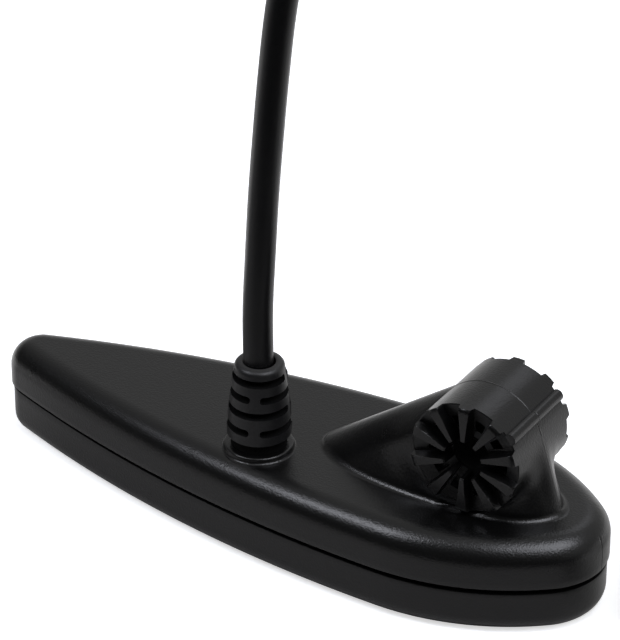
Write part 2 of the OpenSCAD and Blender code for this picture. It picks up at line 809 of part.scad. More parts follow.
module plug_body() {
    color("#26282b") at_plug() difference() {
        union() {
            translate([0, 0, plug_boot_length]) cylinder(d = plug_body_diameter, h = plug_grip_length);
            translate([0, 0, grip_end - bite]) cylinder(d = journal_diameter, h = journal_length + bite);
            translate([0, 0, journal_end - bite]) cylinder(d = plug_nose_diameter, h = nose_length + bite);
        }
        translate([0, 0, plug_boot_length - bite])
            cylinder(d = plug_boot_root - 2, h = boot_socket + bite);
        translate([0, 0, plug_boot_length])
            cylinder(d = cable_diameter, h = plug_cable_stop - plug_boot_length);
        translate([0, 0, insert_back])
            cylinder(d = plug_nose_diameter - 2 * nose_wall, h = plug_end - insert_back + bite);
        ring_cut(clip_back, clip_width, journal_diameter, clip_depth);
        ring_cut(seal_place, seal_thickness, plug_nose_diameter, seal_groove);
    }
}

// Groove of a given width and depth turned into a round of a given diameter
module ring_cut(place, width, diameter, depth) {
    translate([0, 0, place]) difference() {
        cylinder(d = diameter + 2 * bite, h = width);
        translate([0, 0, -bite]) cylinder(d = diameter - 2 * depth, h = width + 2 * bite);
    }
}

module at_pin(i) {
    angle = 90 + i * 360 / pin_count;
    at_plug() translate([pin_circle * cos(angle), pin_circle * sin(angle), insert_back]) children();
}

module pin_insert() {
    color("#d9d4c6") difference() {
        at_plug() translate([0, 0, insert_back])
            cylinder(d = plug_nose_diameter - 2 * nose_wall, h = insert_thickness);
        for (i = [0:pin_count - 1]) at_pin(i) translate([0, 0, -bite])
            cylinder(d = pin_diameter, h = insert_thickness + 2 * bite);
    }
}

module pin(i) {
    color("#c9a24a") at_pin(i) {
        cylinder(d = pin_diameter, h = insert_thickness + pin_reach - pin_diameter / 2);
        translate([0, 0, insert_thickness + pin_reach - pin_diameter / 2]) sphere(d = pin_diameter);
    }
}

module pin_1() {
    pin(0);
}

module pin_2() {
    pin(1);
}

module pin_3() {
    pin(2);
}

module pin_4() {
    pin(3);
}

module pin_5() {
    pin(4);
}

module plug_seal() {
    color("#7a2a22") at_plug() translate([0, 0, seal_place]) difference() {
        cylinder(d = plug_nose_diameter + seal_groove, h = seal_thickness);
        translate([0, 0, -bite])
            cylinder(d = plug_nose_diameter - 2 * seal_groove, h = seal_thickness + 2 * bite);
    }
}

module ring_clip() {
    color("#b9bcc0") at_plug() translate([0, 0, clip_back]) difference() {
        cylinder(d = journal_diameter + 2 * clip_depth, h = clip_width);
        translate([0, 0, -bite])
            cylinder(d = journal_diameter - 2 * clip_depth, h = clip_width + 2 * bite);
    }
}

module coupling_ring() {
    bearing = grip_end + ring_end_play;
    bearing_end = clip_back - ring_end_play;
    color("#26282b") at_plug() difference() {
        union() {
            translate([0, 0, bearing])
                cylinder(d = ring_diameter - 2 * grip_height, h = ring_end - bearing);
            for (i = [0:grip_ribs - 1]) rotate(i * 360 / grip_ribs)
                translate([0, -grip_height, bearing + bite])
                    cube([ring_diameter / 2, 2 * grip_height, ring_end - bearing - 2 * bite]);
        }
        translate([0, 0, bearing - bite])
            cylinder(d = journal_diameter + 2 * ring_clearance, h = ring_end - bearing + 2 * bite);
        translate([0, 0, bearing_end]) cylinder(d = ring_mouth, h = ring_end - bearing_end + bite);
    }
}

upper_housing();
lower_housing();
cable_boot();
cable_tail();
cable_anchor();
piezo_disc();
isolation_sleeve();
backing_disc();
potting();
thermistor();
transformer_core();
transformer_winding();
terminal_board();
live_lead();
ground_lead();
sensor_lead();
transformer_lead();
conductor_1();
conductor_2();
conductor_3();
conductor_4();
cable_stretch();
cable_hank();
plug_lead();
hank_tie();
plug_boot();
plug_cable_end();
plug_body();
pin_insert();
plug_seal();
pin_1();
pin_2();
pin_3();
pin_4();
pin_5();
ring_clip();
coupling_ring();
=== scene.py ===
"""Black transom-mount sonar transducer: two moulded shells, a ribbed pivot knuckle, a slotted
cable boot, and its cable folded in a tied hank with a screw plug. Shapes are worked out in
millimetres and put into the meshes in metres."""
import json
import math

import bpy
import numpy as np
from mathutils import Matrix


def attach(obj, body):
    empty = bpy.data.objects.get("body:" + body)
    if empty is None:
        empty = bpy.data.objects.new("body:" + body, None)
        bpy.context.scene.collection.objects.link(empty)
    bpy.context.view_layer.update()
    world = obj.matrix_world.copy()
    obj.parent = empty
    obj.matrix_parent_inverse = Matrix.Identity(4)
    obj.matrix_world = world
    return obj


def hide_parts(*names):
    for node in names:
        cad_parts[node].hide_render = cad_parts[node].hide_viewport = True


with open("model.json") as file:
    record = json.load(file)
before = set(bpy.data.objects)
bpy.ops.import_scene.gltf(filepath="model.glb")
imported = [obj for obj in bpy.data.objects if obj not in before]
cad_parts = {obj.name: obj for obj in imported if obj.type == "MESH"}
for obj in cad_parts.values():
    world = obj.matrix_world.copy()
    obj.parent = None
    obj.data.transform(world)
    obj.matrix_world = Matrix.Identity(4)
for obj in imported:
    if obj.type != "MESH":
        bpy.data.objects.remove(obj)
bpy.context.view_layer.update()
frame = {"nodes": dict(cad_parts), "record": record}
scene = bpy.context.scene
scene.view_settings.view_transform = "Standard"

MM = 0.001
BODY = "transducer"
RING = "ring"

# Sizes and places of the body, its seam, knuckle and boot
BODY_LENGTH, BODY_WIDTH, NOSE_TIP = 138.0, 45.8, 69.3
NOSE_RADIUS, NOSE_SWEEP, TAIL_RADIUS = 13.9, 49.2, 6.6
TOP, SEAM = 20.4, 10.7
TOP_ROUND, BOTTOM_ROUND = 5.2, 4.0
LOWER_INSET, SEAM_GAP, SEAM_DEPTH, SEAM_ZONE = 0.4, 0.75, 1.6, 0.8
SKIRT_FALL, RIM_FALL, MOULD_LINE = 0.45, 0.95, 0.12
WALL, WINDOW, LIP_INSET, LIP_WALL, LIP_HEIGHT = 2.4, 2.5, 2.5, 1.0, 2.0
CEILING, INNER_ROUND, LID_STEP = TOP - WALL, 2.0, 0.5
# Inset and height of the points round a small moulded edge
SMALL_EDGE = np.array([[0.22, 0.0], [0.06, 0.06], [0.0, 0.22]])
KNUCKLE = np.array([44.1, 0.0, 33.2])
KNUCKLE_RADIUS, END_FACE, RIB_HEIGHT, BORE = 11.6, 9.7, 1.5, 3.4
BOOT = np.array([-2.5, -10.0, 0.0])

# Sizes and places of the cable, its hank, the tie and the plug
CABLE = 6.0
HANK = np.array([157.0, 18.0])
HANK_RUN, FOLD_RADIUS, LOOP_STEP, LAYER_STEP = 38.0, 18.0, 6.65, 6.6
HANK_BASE, HANK_TURNS, HANK_LAYERS, LAYER_LOOPS, WAIST_DRAW = 4.2, 15.5, 4, 4, 5.0
TIE_WIDTH, TIE_THICKNESS, TIE_REACH, TIE_HEIGHT = 12.0, 1.0, 43.1, 28.2
PLUG = np.array([128.0, 46.0, 38.0])


# Mesh making
def grid(rows, cols, close_rows=False):
    """Quads between neighbouring rows of points that are numbered row by row, each row a closed ring.
    With points counted anticlockwise along a row and rows going up, the faces point outwards."""
    r, c = np.meshgrid(np.arange(rows if close_rows else rows - 1), np.arange(cols), indexing="ij")
    r2, c2 = (r + 1) % rows, (c + 1) % cols
    return np.stack([r * cols + c, r * cols + c2, r2 * cols + c2, r2 * cols + c], -1).reshape(-1, 4)


def make(name, points, faces, material, slot, body=BODY, crease=35.0, flip=False):
    """An object at the origin from points in millimetres and a list of face arrays. Edges that
    turn by more than the crease angle stay sharp."""
    mesh = bpy.data.meshes.new(name)
    rows = [tuple(f[::-1] if flip else f) for part in faces for f in np.asarray(part).tolist()]
    mesh.from_pydata((np.asarray(points, float) * MM).tolist(), [], rows)
    mesh.validate()
    mesh.shade_smooth()
    mesh.set_sharp_from_angle(angle=math.radians(crease))
    mesh.materials.append(material)
    obj = bpy.data.objects.new(name, mesh)
    scene.collection.objects.link(obj)
    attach(obj, body)
    return obj


def turned(profile, sides, centre, order=(0, 1, 2)):
    """A closed profile of (radius, place along the axis) carried round an axis through centre: points
    r cos a, r sin a, z, with their three coordinates put in the given order."""
    a = np.arange(sides) * 2 * math.pi / sides
    r, z = np.asarray(profile, float).T
    pts = np.stack([np.outer(r, np.cos(a)), np.outer(r, np.sin(a)), np.outer(z, np.ones(sides))], -1)
    return pts.reshape(-1, 3)[:, list(order)] + centre


def rounded(corner_a, corner_b, corner_c, radius, steps=5):
    """Points of an arc that rounds the corner at b between the lines to a and to c: the quadratic
    curve from b + radius towards a, through b's pull, to b + radius towards c."""
    a, b, c = (np.asarray(p, float) for p in (corner_a, corner_b, corner_c))
    p = b + radius * (a - b) / np.linalg.norm(a - b)
    q = b + radius * (c - b) / np.linalg.norm(c - b)
    t = np.linspace(0, 1, steps)[:, None]
    return (1 - t) ** 2 * p + 2 * t * (1 - t) * b + t ** 2 * q


def rounded_profile(corners, radii):
    """A closed profile with each corner rounded by its radius; a radius of 0 keeps the corner."""
    n = len(corners)
    out = [rounded(corners[i - 1], corners[i], corners[(i + 1) % n], radii[i]) if radii[i] else
           np.array([corners[i]], float) for i in range(n)]
    return np.concatenate(out)


def smooth_path(points, steps):
    """A smooth curve through all the points: on each span the cubic that leaves and arrives along
    the chord of the neighbouring points."""
    p = np.asarray(points, float)
    p = np.concatenate([[2 * p[0] - p[1]], p, [2 * p[-1] - p[-2]]])
    a, b, c, d = p[:-3, None], p[1:-2, None], p[2:-1, None], p[3:, None]
    t = (np.arange(steps) / steps)[None, :, None]
    q = 0.5 * (2 * b + (c - a) * t + (2 * a - 5 * b + 4 * c - d) * t ** 2
               + (3 * b - a - 3 * c + d) * t ** 3)
    return np.concatenate([q.reshape(-1, 3), p[-2:-1]])


def directions(path):
    """Unit directions of a path: each from the point before to the point after."""
    d = np.gradient(path, axis=0)
    return d / np.linalg.norm(d, axis=1, keepdims=True)


def ease(f):
    """Smooth step from 0 to 1."""
    s = np.clip(f, 0, 1)
    return s * s * (3 - 2 * s)


def apart(angle, other):
    """Angle between two directions, from -pi to pi."""
    return np.angle(np.exp(1j * (angle - other)))


# Placing things, and the camera where the photo was taken from
def stand(obj, right, up, back, place):
    """Puts an object in the scene at a place, with its X, Y and Z along right, up and back."""
    obj.matrix_world = Matrix([*zip(right, up, back, place), (0, 0, 0, 1)])
    scene.collection.objects.link(obj)


def photo_camera():
    """Camera on the line from the target at azimuth 31.7 degrees from the side and elevation
    30.7 degrees, 694 mm away, with the photo's long lens."""
    data = bpy.data.cameras.new("photo_camera")
    data.sensor_width = 36.0
    data.lens = 199.22
    data.clip_start, data.clip_end = 0.05, 20.0
    cam = bpy.data.objects.new("photo_camera", data)
    right = (0.85060, 0.52581, 0.0)
    up = (-0.26876, 0.43477, 0.85950)
    back = (0.45194, -0.73109, 0.51113)
    place = (0.31706, -0.50772, 0.40103)
    stand(cam, right, up, back, place)
    scene.camera = cam


photo_camera()


# Material helpers
def linear(hex_colour):
    """Linear colour of an sRGB hex value."""
    c = np.array([int(hex_colour[i:i + 2], 16) for i in (1, 3, 5)]) / 255
    lin = np.where(c <= 0.04045, c / 12.92, ((c + 0.055) / 1.055) ** 2.4)
    return (*lin.tolist(), 1.0)


def node(tree, kind, inputs=None, **settings):
    """Adds a shader node with its settings. An input is a value, the socket that it is linked from,
    or a node, which stands for the first of its outputs that is in use."""
    n = tree.nodes.new("ShaderNode" + kind)
    for key, value in settings.items():
        setattr(n, key, value)
    for key, value in (inputs or {}).items():
        if isinstance(value, bpy.types.Node):
            value = next(out for out in value.outputs if out.enabled)
        if isinstance(value, bpy.types.NodeSocket):
            tree.links.new(value, n.inputs[key])
        else:
            n.inputs[key].default_value = value
    return n


def finish_material(name, tint, deep, patch_mm, grit_mm, grit, rough, rough_swing, **sockets):
    """A material whose colour drifts between two tints in patches, whose gloss drifts with them,
    and whose surface has a grit of a given size; sockets are set on the shader itself."""
    mat = bpy.data.materials.new(name)
    mat.use_nodes = True
    tree = mat.node_tree
    tree.nodes.clear()
    metre = 1 / MM
    place = node(tree, "TexCoord").outputs["Object"]
    patch = node(tree, "TexNoise", {"Vector": place, "Scale": metre / patch_mm, "Detail": 4.0,
                                    "Roughness": 0.55}).outputs["Fac"]
    grain = node(tree, "TexNoise", {"Vector": place, "Scale": metre / grit_mm, "Detail": 2.0,
                                    "Roughness": 0.6}).outputs["Fac"]
    colour = node(tree, "Mix", {0: patch, 6: linear(tint), 7: linear(deep)}, data_type="RGBA")
    gloss = node(tree, "MapRange", {"Value": patch, "To Min": rough - rough_swing,
                                    "To Max": rough + rough_swing})
    bump = node(tree, "Bump", {"Height": grain, "Strength": grit, "Distance": grit_mm * MM / 2})
    shader = node(tree, "BsdfPrincipled", {"Base Color": colour, "Roughness": gloss, "Normal": bump,
                                           **sockets})
    node(tree, "OutputMaterial", {"Surface": shader})
    return mat


HARDLY_SHINY = {"Specular IOR Level": 0.1}

# Moulded ABS with a fine spark-eroded texture: black, satin, with soft highlights that sparkle a
# little. The texture's grit is about 0.1 mm on the real thing and is drawn coarser so that it shows.
moulded_abs = finish_material("moulded_abs", "#080808", "#060606", patch_mm=18, grit_mm=0.42, grit=0.27,
                              rough=0.28, rough_swing=0.02, IOR=1.5)
# The same ABS inside the pivot bore, painted as shade: a darker tint and a turned-down shine stand in for
# the shade in there, so it looks dead black.
bore_painted_shade = finish_material("bore_painted_shade", "#060606", "#040404", patch_mm=3, grit_mm=0.3, grit=0.4,
                             rough=0.85, rough_swing=0.05, IOR=1.5, **HARDLY_SHINY)
# Thermoplastic rubber of the boot: a shade greyer and duller than the housing.
boot_rubber = finish_material("boot_rubber", "#131314", "#0e0e0f", patch_mm=6, grit_mm=0.35, grit=0.25,
                              rough=0.42, rough_swing=0.04, IOR=1.5)
# Painted shade inside the slots: the same rubber drawn near black and dull, standing in for the shade in
# there.
slot_painted_shade = finish_material("slot_painted_shade", "#080808", "#060606", patch_mm=4, grit_mm=0.4, grit=0.3,
                              rough=0.9, rough_swing=0.05, IOR=1.5, **HARDLY_SHINY)
# Extruded PVC cable jacket: smooth along the pull, satin, with little mirror.
cable_jacket = finish_material("cable_jacket", "#0b0b0c", "#080809", patch_mm=25, grit_mm=0.5, grit=0.1,
                               rough=0.36, rough_swing=0.03, IOR=1.42)
# Glass-filled nylon of the plug: dull charcoal, faintly mottled.
plug_nylon = finish_material("plug_nylon", "#1c1d20", "#141517", patch_mm=8, grit_mm=0.4, grit=0.2,
                             rough=0.46, rough_swing=0.05, IOR=1.53)
# Brushed nylon loop tape of the tie: matt charcoal with a fuzzy nap.
tie_fabric = finish_material("tie_fabric", "#1d1e21", "#111214", patch_mm=3, grit_mm=0.5, grit=0.9,
                             rough=0.9, rough_swing=0.05, IOR=1.4)

# Finishes inside the housing and the plug, which show when it is taken apart: name, two tints, sizes of
# patches and of grit in mm, strength of the grit, roughness, swing of the roughness, share of metal
INNER_FINISHES = [
    # Fired lead titanate ceramic with a silvered face: pale, slightly yellow, dull.
    ("piezo_ceramic", "#cfc9b8", "#bcb5a2", 5, 0.3, 0.1, 0.55, 0.08, 0.0),
    # Pressed cork: warm brown grains with darker lenticels.
    ("cork", "#b58d5c", "#7d5a35", 1.6, 0.9, 0.6, 0.85, 0.05, 0.0),
    # Poured epoxy potting: dark grey-green, smooth and glossy with a slightly cloudy body.
    ("potting_resin", "#3a3f37", "#2d322b", 12, 3.0, 0.05, 0.18, 0.05, 0.0),
    # Dipped epoxy bead: dark blue-grey and glossy.
    ("epoxy_bead", "#27313a", "#1c242b", 3, 1.2, 0.06, 0.22, 0.04, 0.0),
    # Sintered ferrite: dark grey, slightly metallic sheen, fine pores.
    ("ferrite", "#3b3b3f", "#2c2c30", 2, 0.2, 0.3, 0.5, 0.08, 0.0),
    # Enamelled copper wire seen as a wound mass: reddish brown, shiny.
    ("copper_winding", "#b26b35", "#8c4d22", 1.5, 0.3, 0.5, 0.3, 0.06, 0.8),
    # Woven glass laminate under green solder resist.
    ("glass_laminate", "#2f6b3c", "#275a33", 2, 0.5, 0.2, 0.35, 0.05, 0.0),
    # Extruded PVC insulation of the thin leads: clean colour, satin.
    ("red_insulation", "#c0392b", "#a93226", 4, 0.4, 0.05, 0.4, 0.04, 0.0),
    ("white_insulation", "#d8d8d8", "#c9c9c7", 4, 0.4, 0.05, 0.4, 0.04, 0.0),
    ("yellow_insulation", "#e0c341", "#cfb238", 4, 0.4, 0.05, 0.4, 0.04, 0.0),
    ("blue_insulation", "#3d6fb5", "#34609e", 4, 0.4, 0.05, 0.4, 0.04, 0.0),
    # Crimped aluminium: pale grey metal with a drawn finish.
    ("crimp_aluminium", "#b9bcc0", "#a6a9ad", 2, 0.25, 0.15, 0.35, 0.06, 1.0),
    # Moulded polyamide pin insert: creamy, satin.
    ("insert_plastic", "#d9d4c6", "#cbc5b5", 4, 0.3, 0.12, 0.45, 0.05, 0.0),
    # Silicone sealing ring: dull red, soft.
    ("seal_rubber", "#7a2a22", "#66221b", 2, 0.3, 0.12, 0.5, 0.05, 0.0),
    # Gold-flashed brass pins: warm yellow metal, bright.
    ("gilt_brass", "#c9a24a", "#b88f3a", 1.5, 0.15, 0.06, 0.22, 0.04, 1.0),
    # Spring steel snap ring: grey metal, bright on its edges.
    ("clip_steel", "#b9bcc0", "#9da1a6", 2, 0.2, 0.1, 0.28, 0.05, 1.0),
]
slot_finish = {"black_abs": moulded_abs, "boot_rubber": boot_rubber, "cable_pvc": cable_jacket,
               "tie_fabric": tie_fabric, "plug_nylon": plug_nylon}
for slot_name, *values, metal in INNER_FINISHES:
    slot_finish[slot_name] = finish_material(slot_name, *values, Metallic=metal)


# The cable, all one length
STRETCH = [
    [-2.5, -10, 40.4], [-2.5, -10, 52], [-1.9, -9.9, 64], [-1.2, -9.7, 77], [-0.2, -9.5, 90],
    [0.9, -9.2, 103], [2.4, -8.8, 117], [4.8, -8.3, 131], [8, -7.4, 145], [13.2, -5.9, 158],
    [21, -3.6, 170], [31, -0.7, 179.5], [43, 2.8, 186], [56, 6.6, 188.5], [69.5, 10.5, 186.5],
    [82, 14.2, 180], [92.3, 17.2, 170], [100, 19.5, 157.5], [105.2, 21, 144], [108.3, 22, 130],
    [110.2, 22.7, 116], [111.3, 23.2, 102], [112, 23.6, 88], [112.4, 23.9, 74],
    [112.7, 24.1, 60], [113, 24.3, 46], [114, 24.7, 34], [117.2, 25.4, 22.5],
    [123.4, 26.7, 13], [131.5, 29.2, 7.2], [142, 31, 4.2], [151, 31, 4.2],
]
PLUG_LEAD = [
    [151, 1.7, 24], [145, 1.7, 24], [136, 0.4, 25.4], [127, -2.4, 29], [118.5, -4, 32.6],
    [107.7, -1.5, 35.4], [99, 5.4, 37.2], [94.1, 15.4, 37.9], [94.1, 26.6, 38], [99, 36.6, 38],
    [107.7, 43.5, 38], [118.5, 46, 38], [122, 46, 38], [128, 46, 38],
]


def hank_path(per_loop):
    """Centreline of the hank. After t turns the loop radius is fold_radius + step * f, where f runs
    out and back on alternate layers. A sixth of a turn goes along each straight run, drawn in at the
    waist by draw * (1 + cos(180 x / run)) / 2, and a third round each fold; the height eases up one
    layer within a twelfth of a turn of each fourth turn."""
    t = np.arange(0, HANK_TURNS * per_loop + 1) / per_loop
    layer = np.minimum(np.floor(t / LAYER_LOOPS), HANK_LAYERS - 1)
    f = t - layer * LAYER_LOOPS
    r = FOLD_RADIUS + LOOP_STEP * np.where(layer % 2 == 0, f, LAYER_LOOPS - f)
    u = t - np.floor(t)
    x_run = HANK_RUN * np.select([u < 1 / 4, u < 3 / 4], [u * 12, (0.5 - u) * 12], (u - 1) * 12)
    y_run = r - WAIST_DRAW * (1 + np.cos(math.pi * np.clip(x_run / HANK_RUN, -1, 1))) / 2
    front = (u > 1 / 12) & (u < 5 / 12)
    back = (u > 7 / 12) & (u < 11 / 12)
    near = (u >= 5 / 12) & (u <= 7 / 12)
    turn = np.where(front, math.pi / 2 - 3 * math.pi * (u - 1 / 12),
                    -math.pi / 2 - 3 * math.pi * (u - 7 / 12))
    fold_x = np.where(front, HANK_RUN, -HANK_RUN) + r * np.cos(turn)
    x = np.where(front | back, fold_x, x_run)
    y = np.where(front | back, r * np.sin(turn), np.where(near, -y_run, y_run))
    rise = ease((t[:, None] - LAYER_LOOPS * np.arange(1, HANK_LAYERS)) * 6 + 0.5)
    z = HANK_BASE + LAYER_STEP * rise.sum(1)
    return np.stack([HANK[0] + x, HANK[1] + y, z], -1)


def cable_path():
    """The whole centreline from the boot's top, over and down into the hank, round it and on to the
    plug, without the points that two stretches share."""
    return np.concatenate([smooth_path(STRETCH, 5)[:-1], hank_path(72), smooth_path(PLUG_LEAD, 4)[1:]])


def tube(path, radius, sides):
    """A round tube along a path. The ring's first axis is carried along the path by taking out of it
    what lies along each new direction, so that the tube doesn't twist. Each end is closed."""
    d = directions(path)
    start = (0.0, 1.0, 0.2)
    side = np.empty_like(d)
    side[0] = np.cross(d[0], start)
    for i in range(1, len(d)):
        side[i] = side[i - 1] - d[i] * (side[i - 1] @ d[i])
        side[i] /= np.linalg.norm(side[i])
    side[0] /= np.linalg.norm(side[0])
    over = np.cross(d, side)
    a = np.arange(sides) * 2 * math.pi / sides
    rings = path[:, None] + radius * (np.cos(a)[None, :, None] * side[:, None]
                                      + np.sin(a)[None, :, None] * over[:, None])
    n = len(path)
    faces = [grid(n, sides), np.arange(sides)[None, ::-1], (np.arange(sides) + (n - 1) * sides)[None]]
    return rings.reshape(-1, 3), faces


route = cable_path()
cable = make("cable", *tube(route, CABLE / 2, 20), cable_jacket, "cable_pvc")
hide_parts("cable_stretch", "cable_hank", "plug_lead")


# The two shells
def arc_points(centre, radius, from_deg, to_deg, steps):
    """Centre, radius and outward angle of points along one arc of the outline, its first left out."""
    a = np.radians(np.linspace(from_deg, to_deg, steps + 1)[1:])
    return np.stack([np.full(steps, centre[0]), np.full(steps, centre[1]), np.full(steps, radius), a], -1)


def outline_arcs():
    """The teardrop outline as points that each know their arc: a nose arc, a side arc, a long taper
    arc and a tail arc, each tangent to the next, mirrored to the other side. The first step off the
    nose's tip is short, so that the mould line there is fine."""
    phi = math.radians(NOSE_SWEEP)
    side_r = (BODY_WIDTH / 2 - NOSE_RADIUS * math.sin(phi)) / (1 - math.sin(phi))
    nose_c = np.array([NOSE_TIP - NOSE_RADIUS, 0.0])
    side_c = nose_c + (NOSE_RADIUS - side_r) * np.array([math.cos(phi), math.sin(phi)])
    run = side_c[0] + BODY_LENGTH / 2 - TAIL_RADIUS
    taper_r = (run ** 2 + (BODY_WIDTH / 2) ** 2 - TAIL_RADIUS ** 2) / (BODY_WIDTH - 2 * TAIL_RADIUS)
    taper_c = np.array([side_c[0], BODY_WIDTH / 2 - taper_r])
    tail_c = np.array([TAIL_RADIUS - BODY_LENGTH / 2, 0.0])
    end = math.degrees(math.atan2(taper_r - BODY_WIDTH / 2, -run))
    line_half = 0.4
    half = np.concatenate([
        [[nose_c[0], 0, NOSE_RADIUS, 0]],
        arc_points(nose_c, NOSE_RADIUS, 0, line_half, 1),
        arc_points(nose_c, NOSE_RADIUS, line_half, NOSE_SWEEP, 26),
        arc_points(side_c, side_r, NOSE_SWEEP, 90, 26),
        arc_points(taper_c, taper_r, 90, end, 34),
        arc_points(tail_c, TAIL_RADIUS, end, 180, 22),
    ])
    mirror = half[1:-1][::-1] * [1, -1, 1, -1]
    return np.concatenate([half, mirror])


ARCS = outline_arcs()


def shell_rings(levels):
    """Rings of the outline drawn in by each level's inset and set at its height: each point moves
    along its own arc's radius. The two edges of the seam fall in a straight line from tail to nose,
    the lower one more, so that the seam opens towards the nose. A fine mould line goes up the wall
    at the nose's tip."""
    inset, z = np.asarray(levels, float).T
    marked = (z > SEAM) & (z < TOP - TOP_ROUND / 2)
    line = MOULD_LINE * marked[:, None] * (np.arange(len(ARCS)) == 0)
    r = ARCS[None, :, 2] - inset[:, None] - line
    x = ARCS[None, :, 0] + r * np.cos(ARCS[:, 3])
    y = ARCS[None, :, 1] + r * np.sin(ARCS[:, 3])
    fall = np.where(np.abs(z - SEAM) > SEAM_ZONE, 0, np.where(z > SEAM, SKIRT_FALL, RIM_FALL))
    heights = z[:, None] - fall[:, None] * (x / BODY_LENGTH + 0.5)
    return np.stack([x, y, heights], -1).reshape(-1, 3)


def cap(start, n, up):
    """Flat lid over one ring: strips from each point to its mirror image across the middle line."""
    m = n // 2
    k = np.arange(1, m - 1)
    quads = np.stack([k, k + 1, n - k - 1, n - k], -1)
    ends = np.array([[0, 1, n - 1], [m - 1, m, m + 1]])
    quads, ends = quads + start, ends + start
    return [quads, ends] if up else [quads[:, ::-1], ends[:, ::-1]]


def edge_round(inset, top, radius, steps, sign=1):
    """Insets and heights round a rounded edge: inset + radius (1 - cos a), top - radius (1 - sin a)."""
    a = np.linspace(0, math.pi / 2, steps + 1)
    return np.stack([inset + radius * (1 - np.cos(a)), top - sign * radius * (1 - np.sin(a))], -1)


def shell(name, levels):
    """A closed shell through levels that start at an inner lid and end at an outer one."""
    n = len(ARCS)
    upwards = levels[-1][1] > levels[-3][1]
    faces = [grid(len(levels), n)]
    faces += cap((len(levels) - 1) * n, n, upwards)
    faces += cap(0, n, not upwards)
    return make(name, shell_rings(levels), faces, moulded_abs, "black_abs", flip=not upwards)


def upper_levels():
    """Ceiling, inner wall, tongue, seam groove, skirt with a small edge, wall and rounded top."""
    rim, skirt = SEAM - SEAM_GAP / 2, SEAM + SEAM_GAP / 2
    ceiling = [[WALL + INNER_ROUND + LID_STEP, CEILING]]
    inner = edge_round(WALL, CEILING, INNER_ROUND, 5)[::-1]
    groove = [[WALL, rim], [SEAM_DEPTH, rim], [SEAM_DEPTH, skirt]]
    wall = [[0, 12.2], [0, 14.0]]
    lid = [[TOP_ROUND + LID_STEP, TOP]]
    return np.concatenate([ceiling, inner, groove, SMALL_EDGE + [0, skirt], wall,
                           edge_round(0, TOP, TOP_ROUND, 14), lid])


def lower_levels():
    """Window, inner wall, lip, rim with a small edge, wall, rounded bottom and flat base."""
    inner = LIP_INSET + LIP_WALL
    rim = SEAM - SEAM_GAP / 2
    lip = [[inner + LID_STEP, WINDOW], [inner, WINDOW], [inner, rim + LIP_HEIGHT],
           [LIP_INSET, rim + LIP_HEIGHT], [LIP_INSET, rim]]
    edge = SMALL_EDGE * [1, -1] + [LOWER_INSET, rim]
    wall = [[LOWER_INSET, 8.5], [LOWER_INSET, 6.0]]
    bottom = edge_round(LOWER_INSET, 0, BOTTOM_ROUND, 12, -1)
    base = [[LOWER_INSET + BOTTOM_ROUND + LID_STEP, 0]]
    return np.concatenate([lip, edge, wall, bottom, base])


upper_shell = shell("upper_shell", upper_levels())
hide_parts("upper_housing")
lower_shell = shell("lower_shell", lower_levels())
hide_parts("lower_housing")


# Fairing and knuckle
FAIRING_FOOT = [
    [7.5, 0], [7.6, 0.9], [7.95, 1.9], [8.6, 3.0], [9.6, 4.15], [11, 5.3], [12.8, 6.4], [15, 7.3],
    [18, 8.1], [21.5, 8.75], [25.5, 9.25], [30, 9.55], [34.5, 9.62], [38.8, 9.64], [44.5, 9.3],
    [50, 8.3], [53.8, 7.0], [56.3, 5.6], [58.1, 4.1], [59.3, 2.5], [60.0, 1.1], [60.2, 0],
]


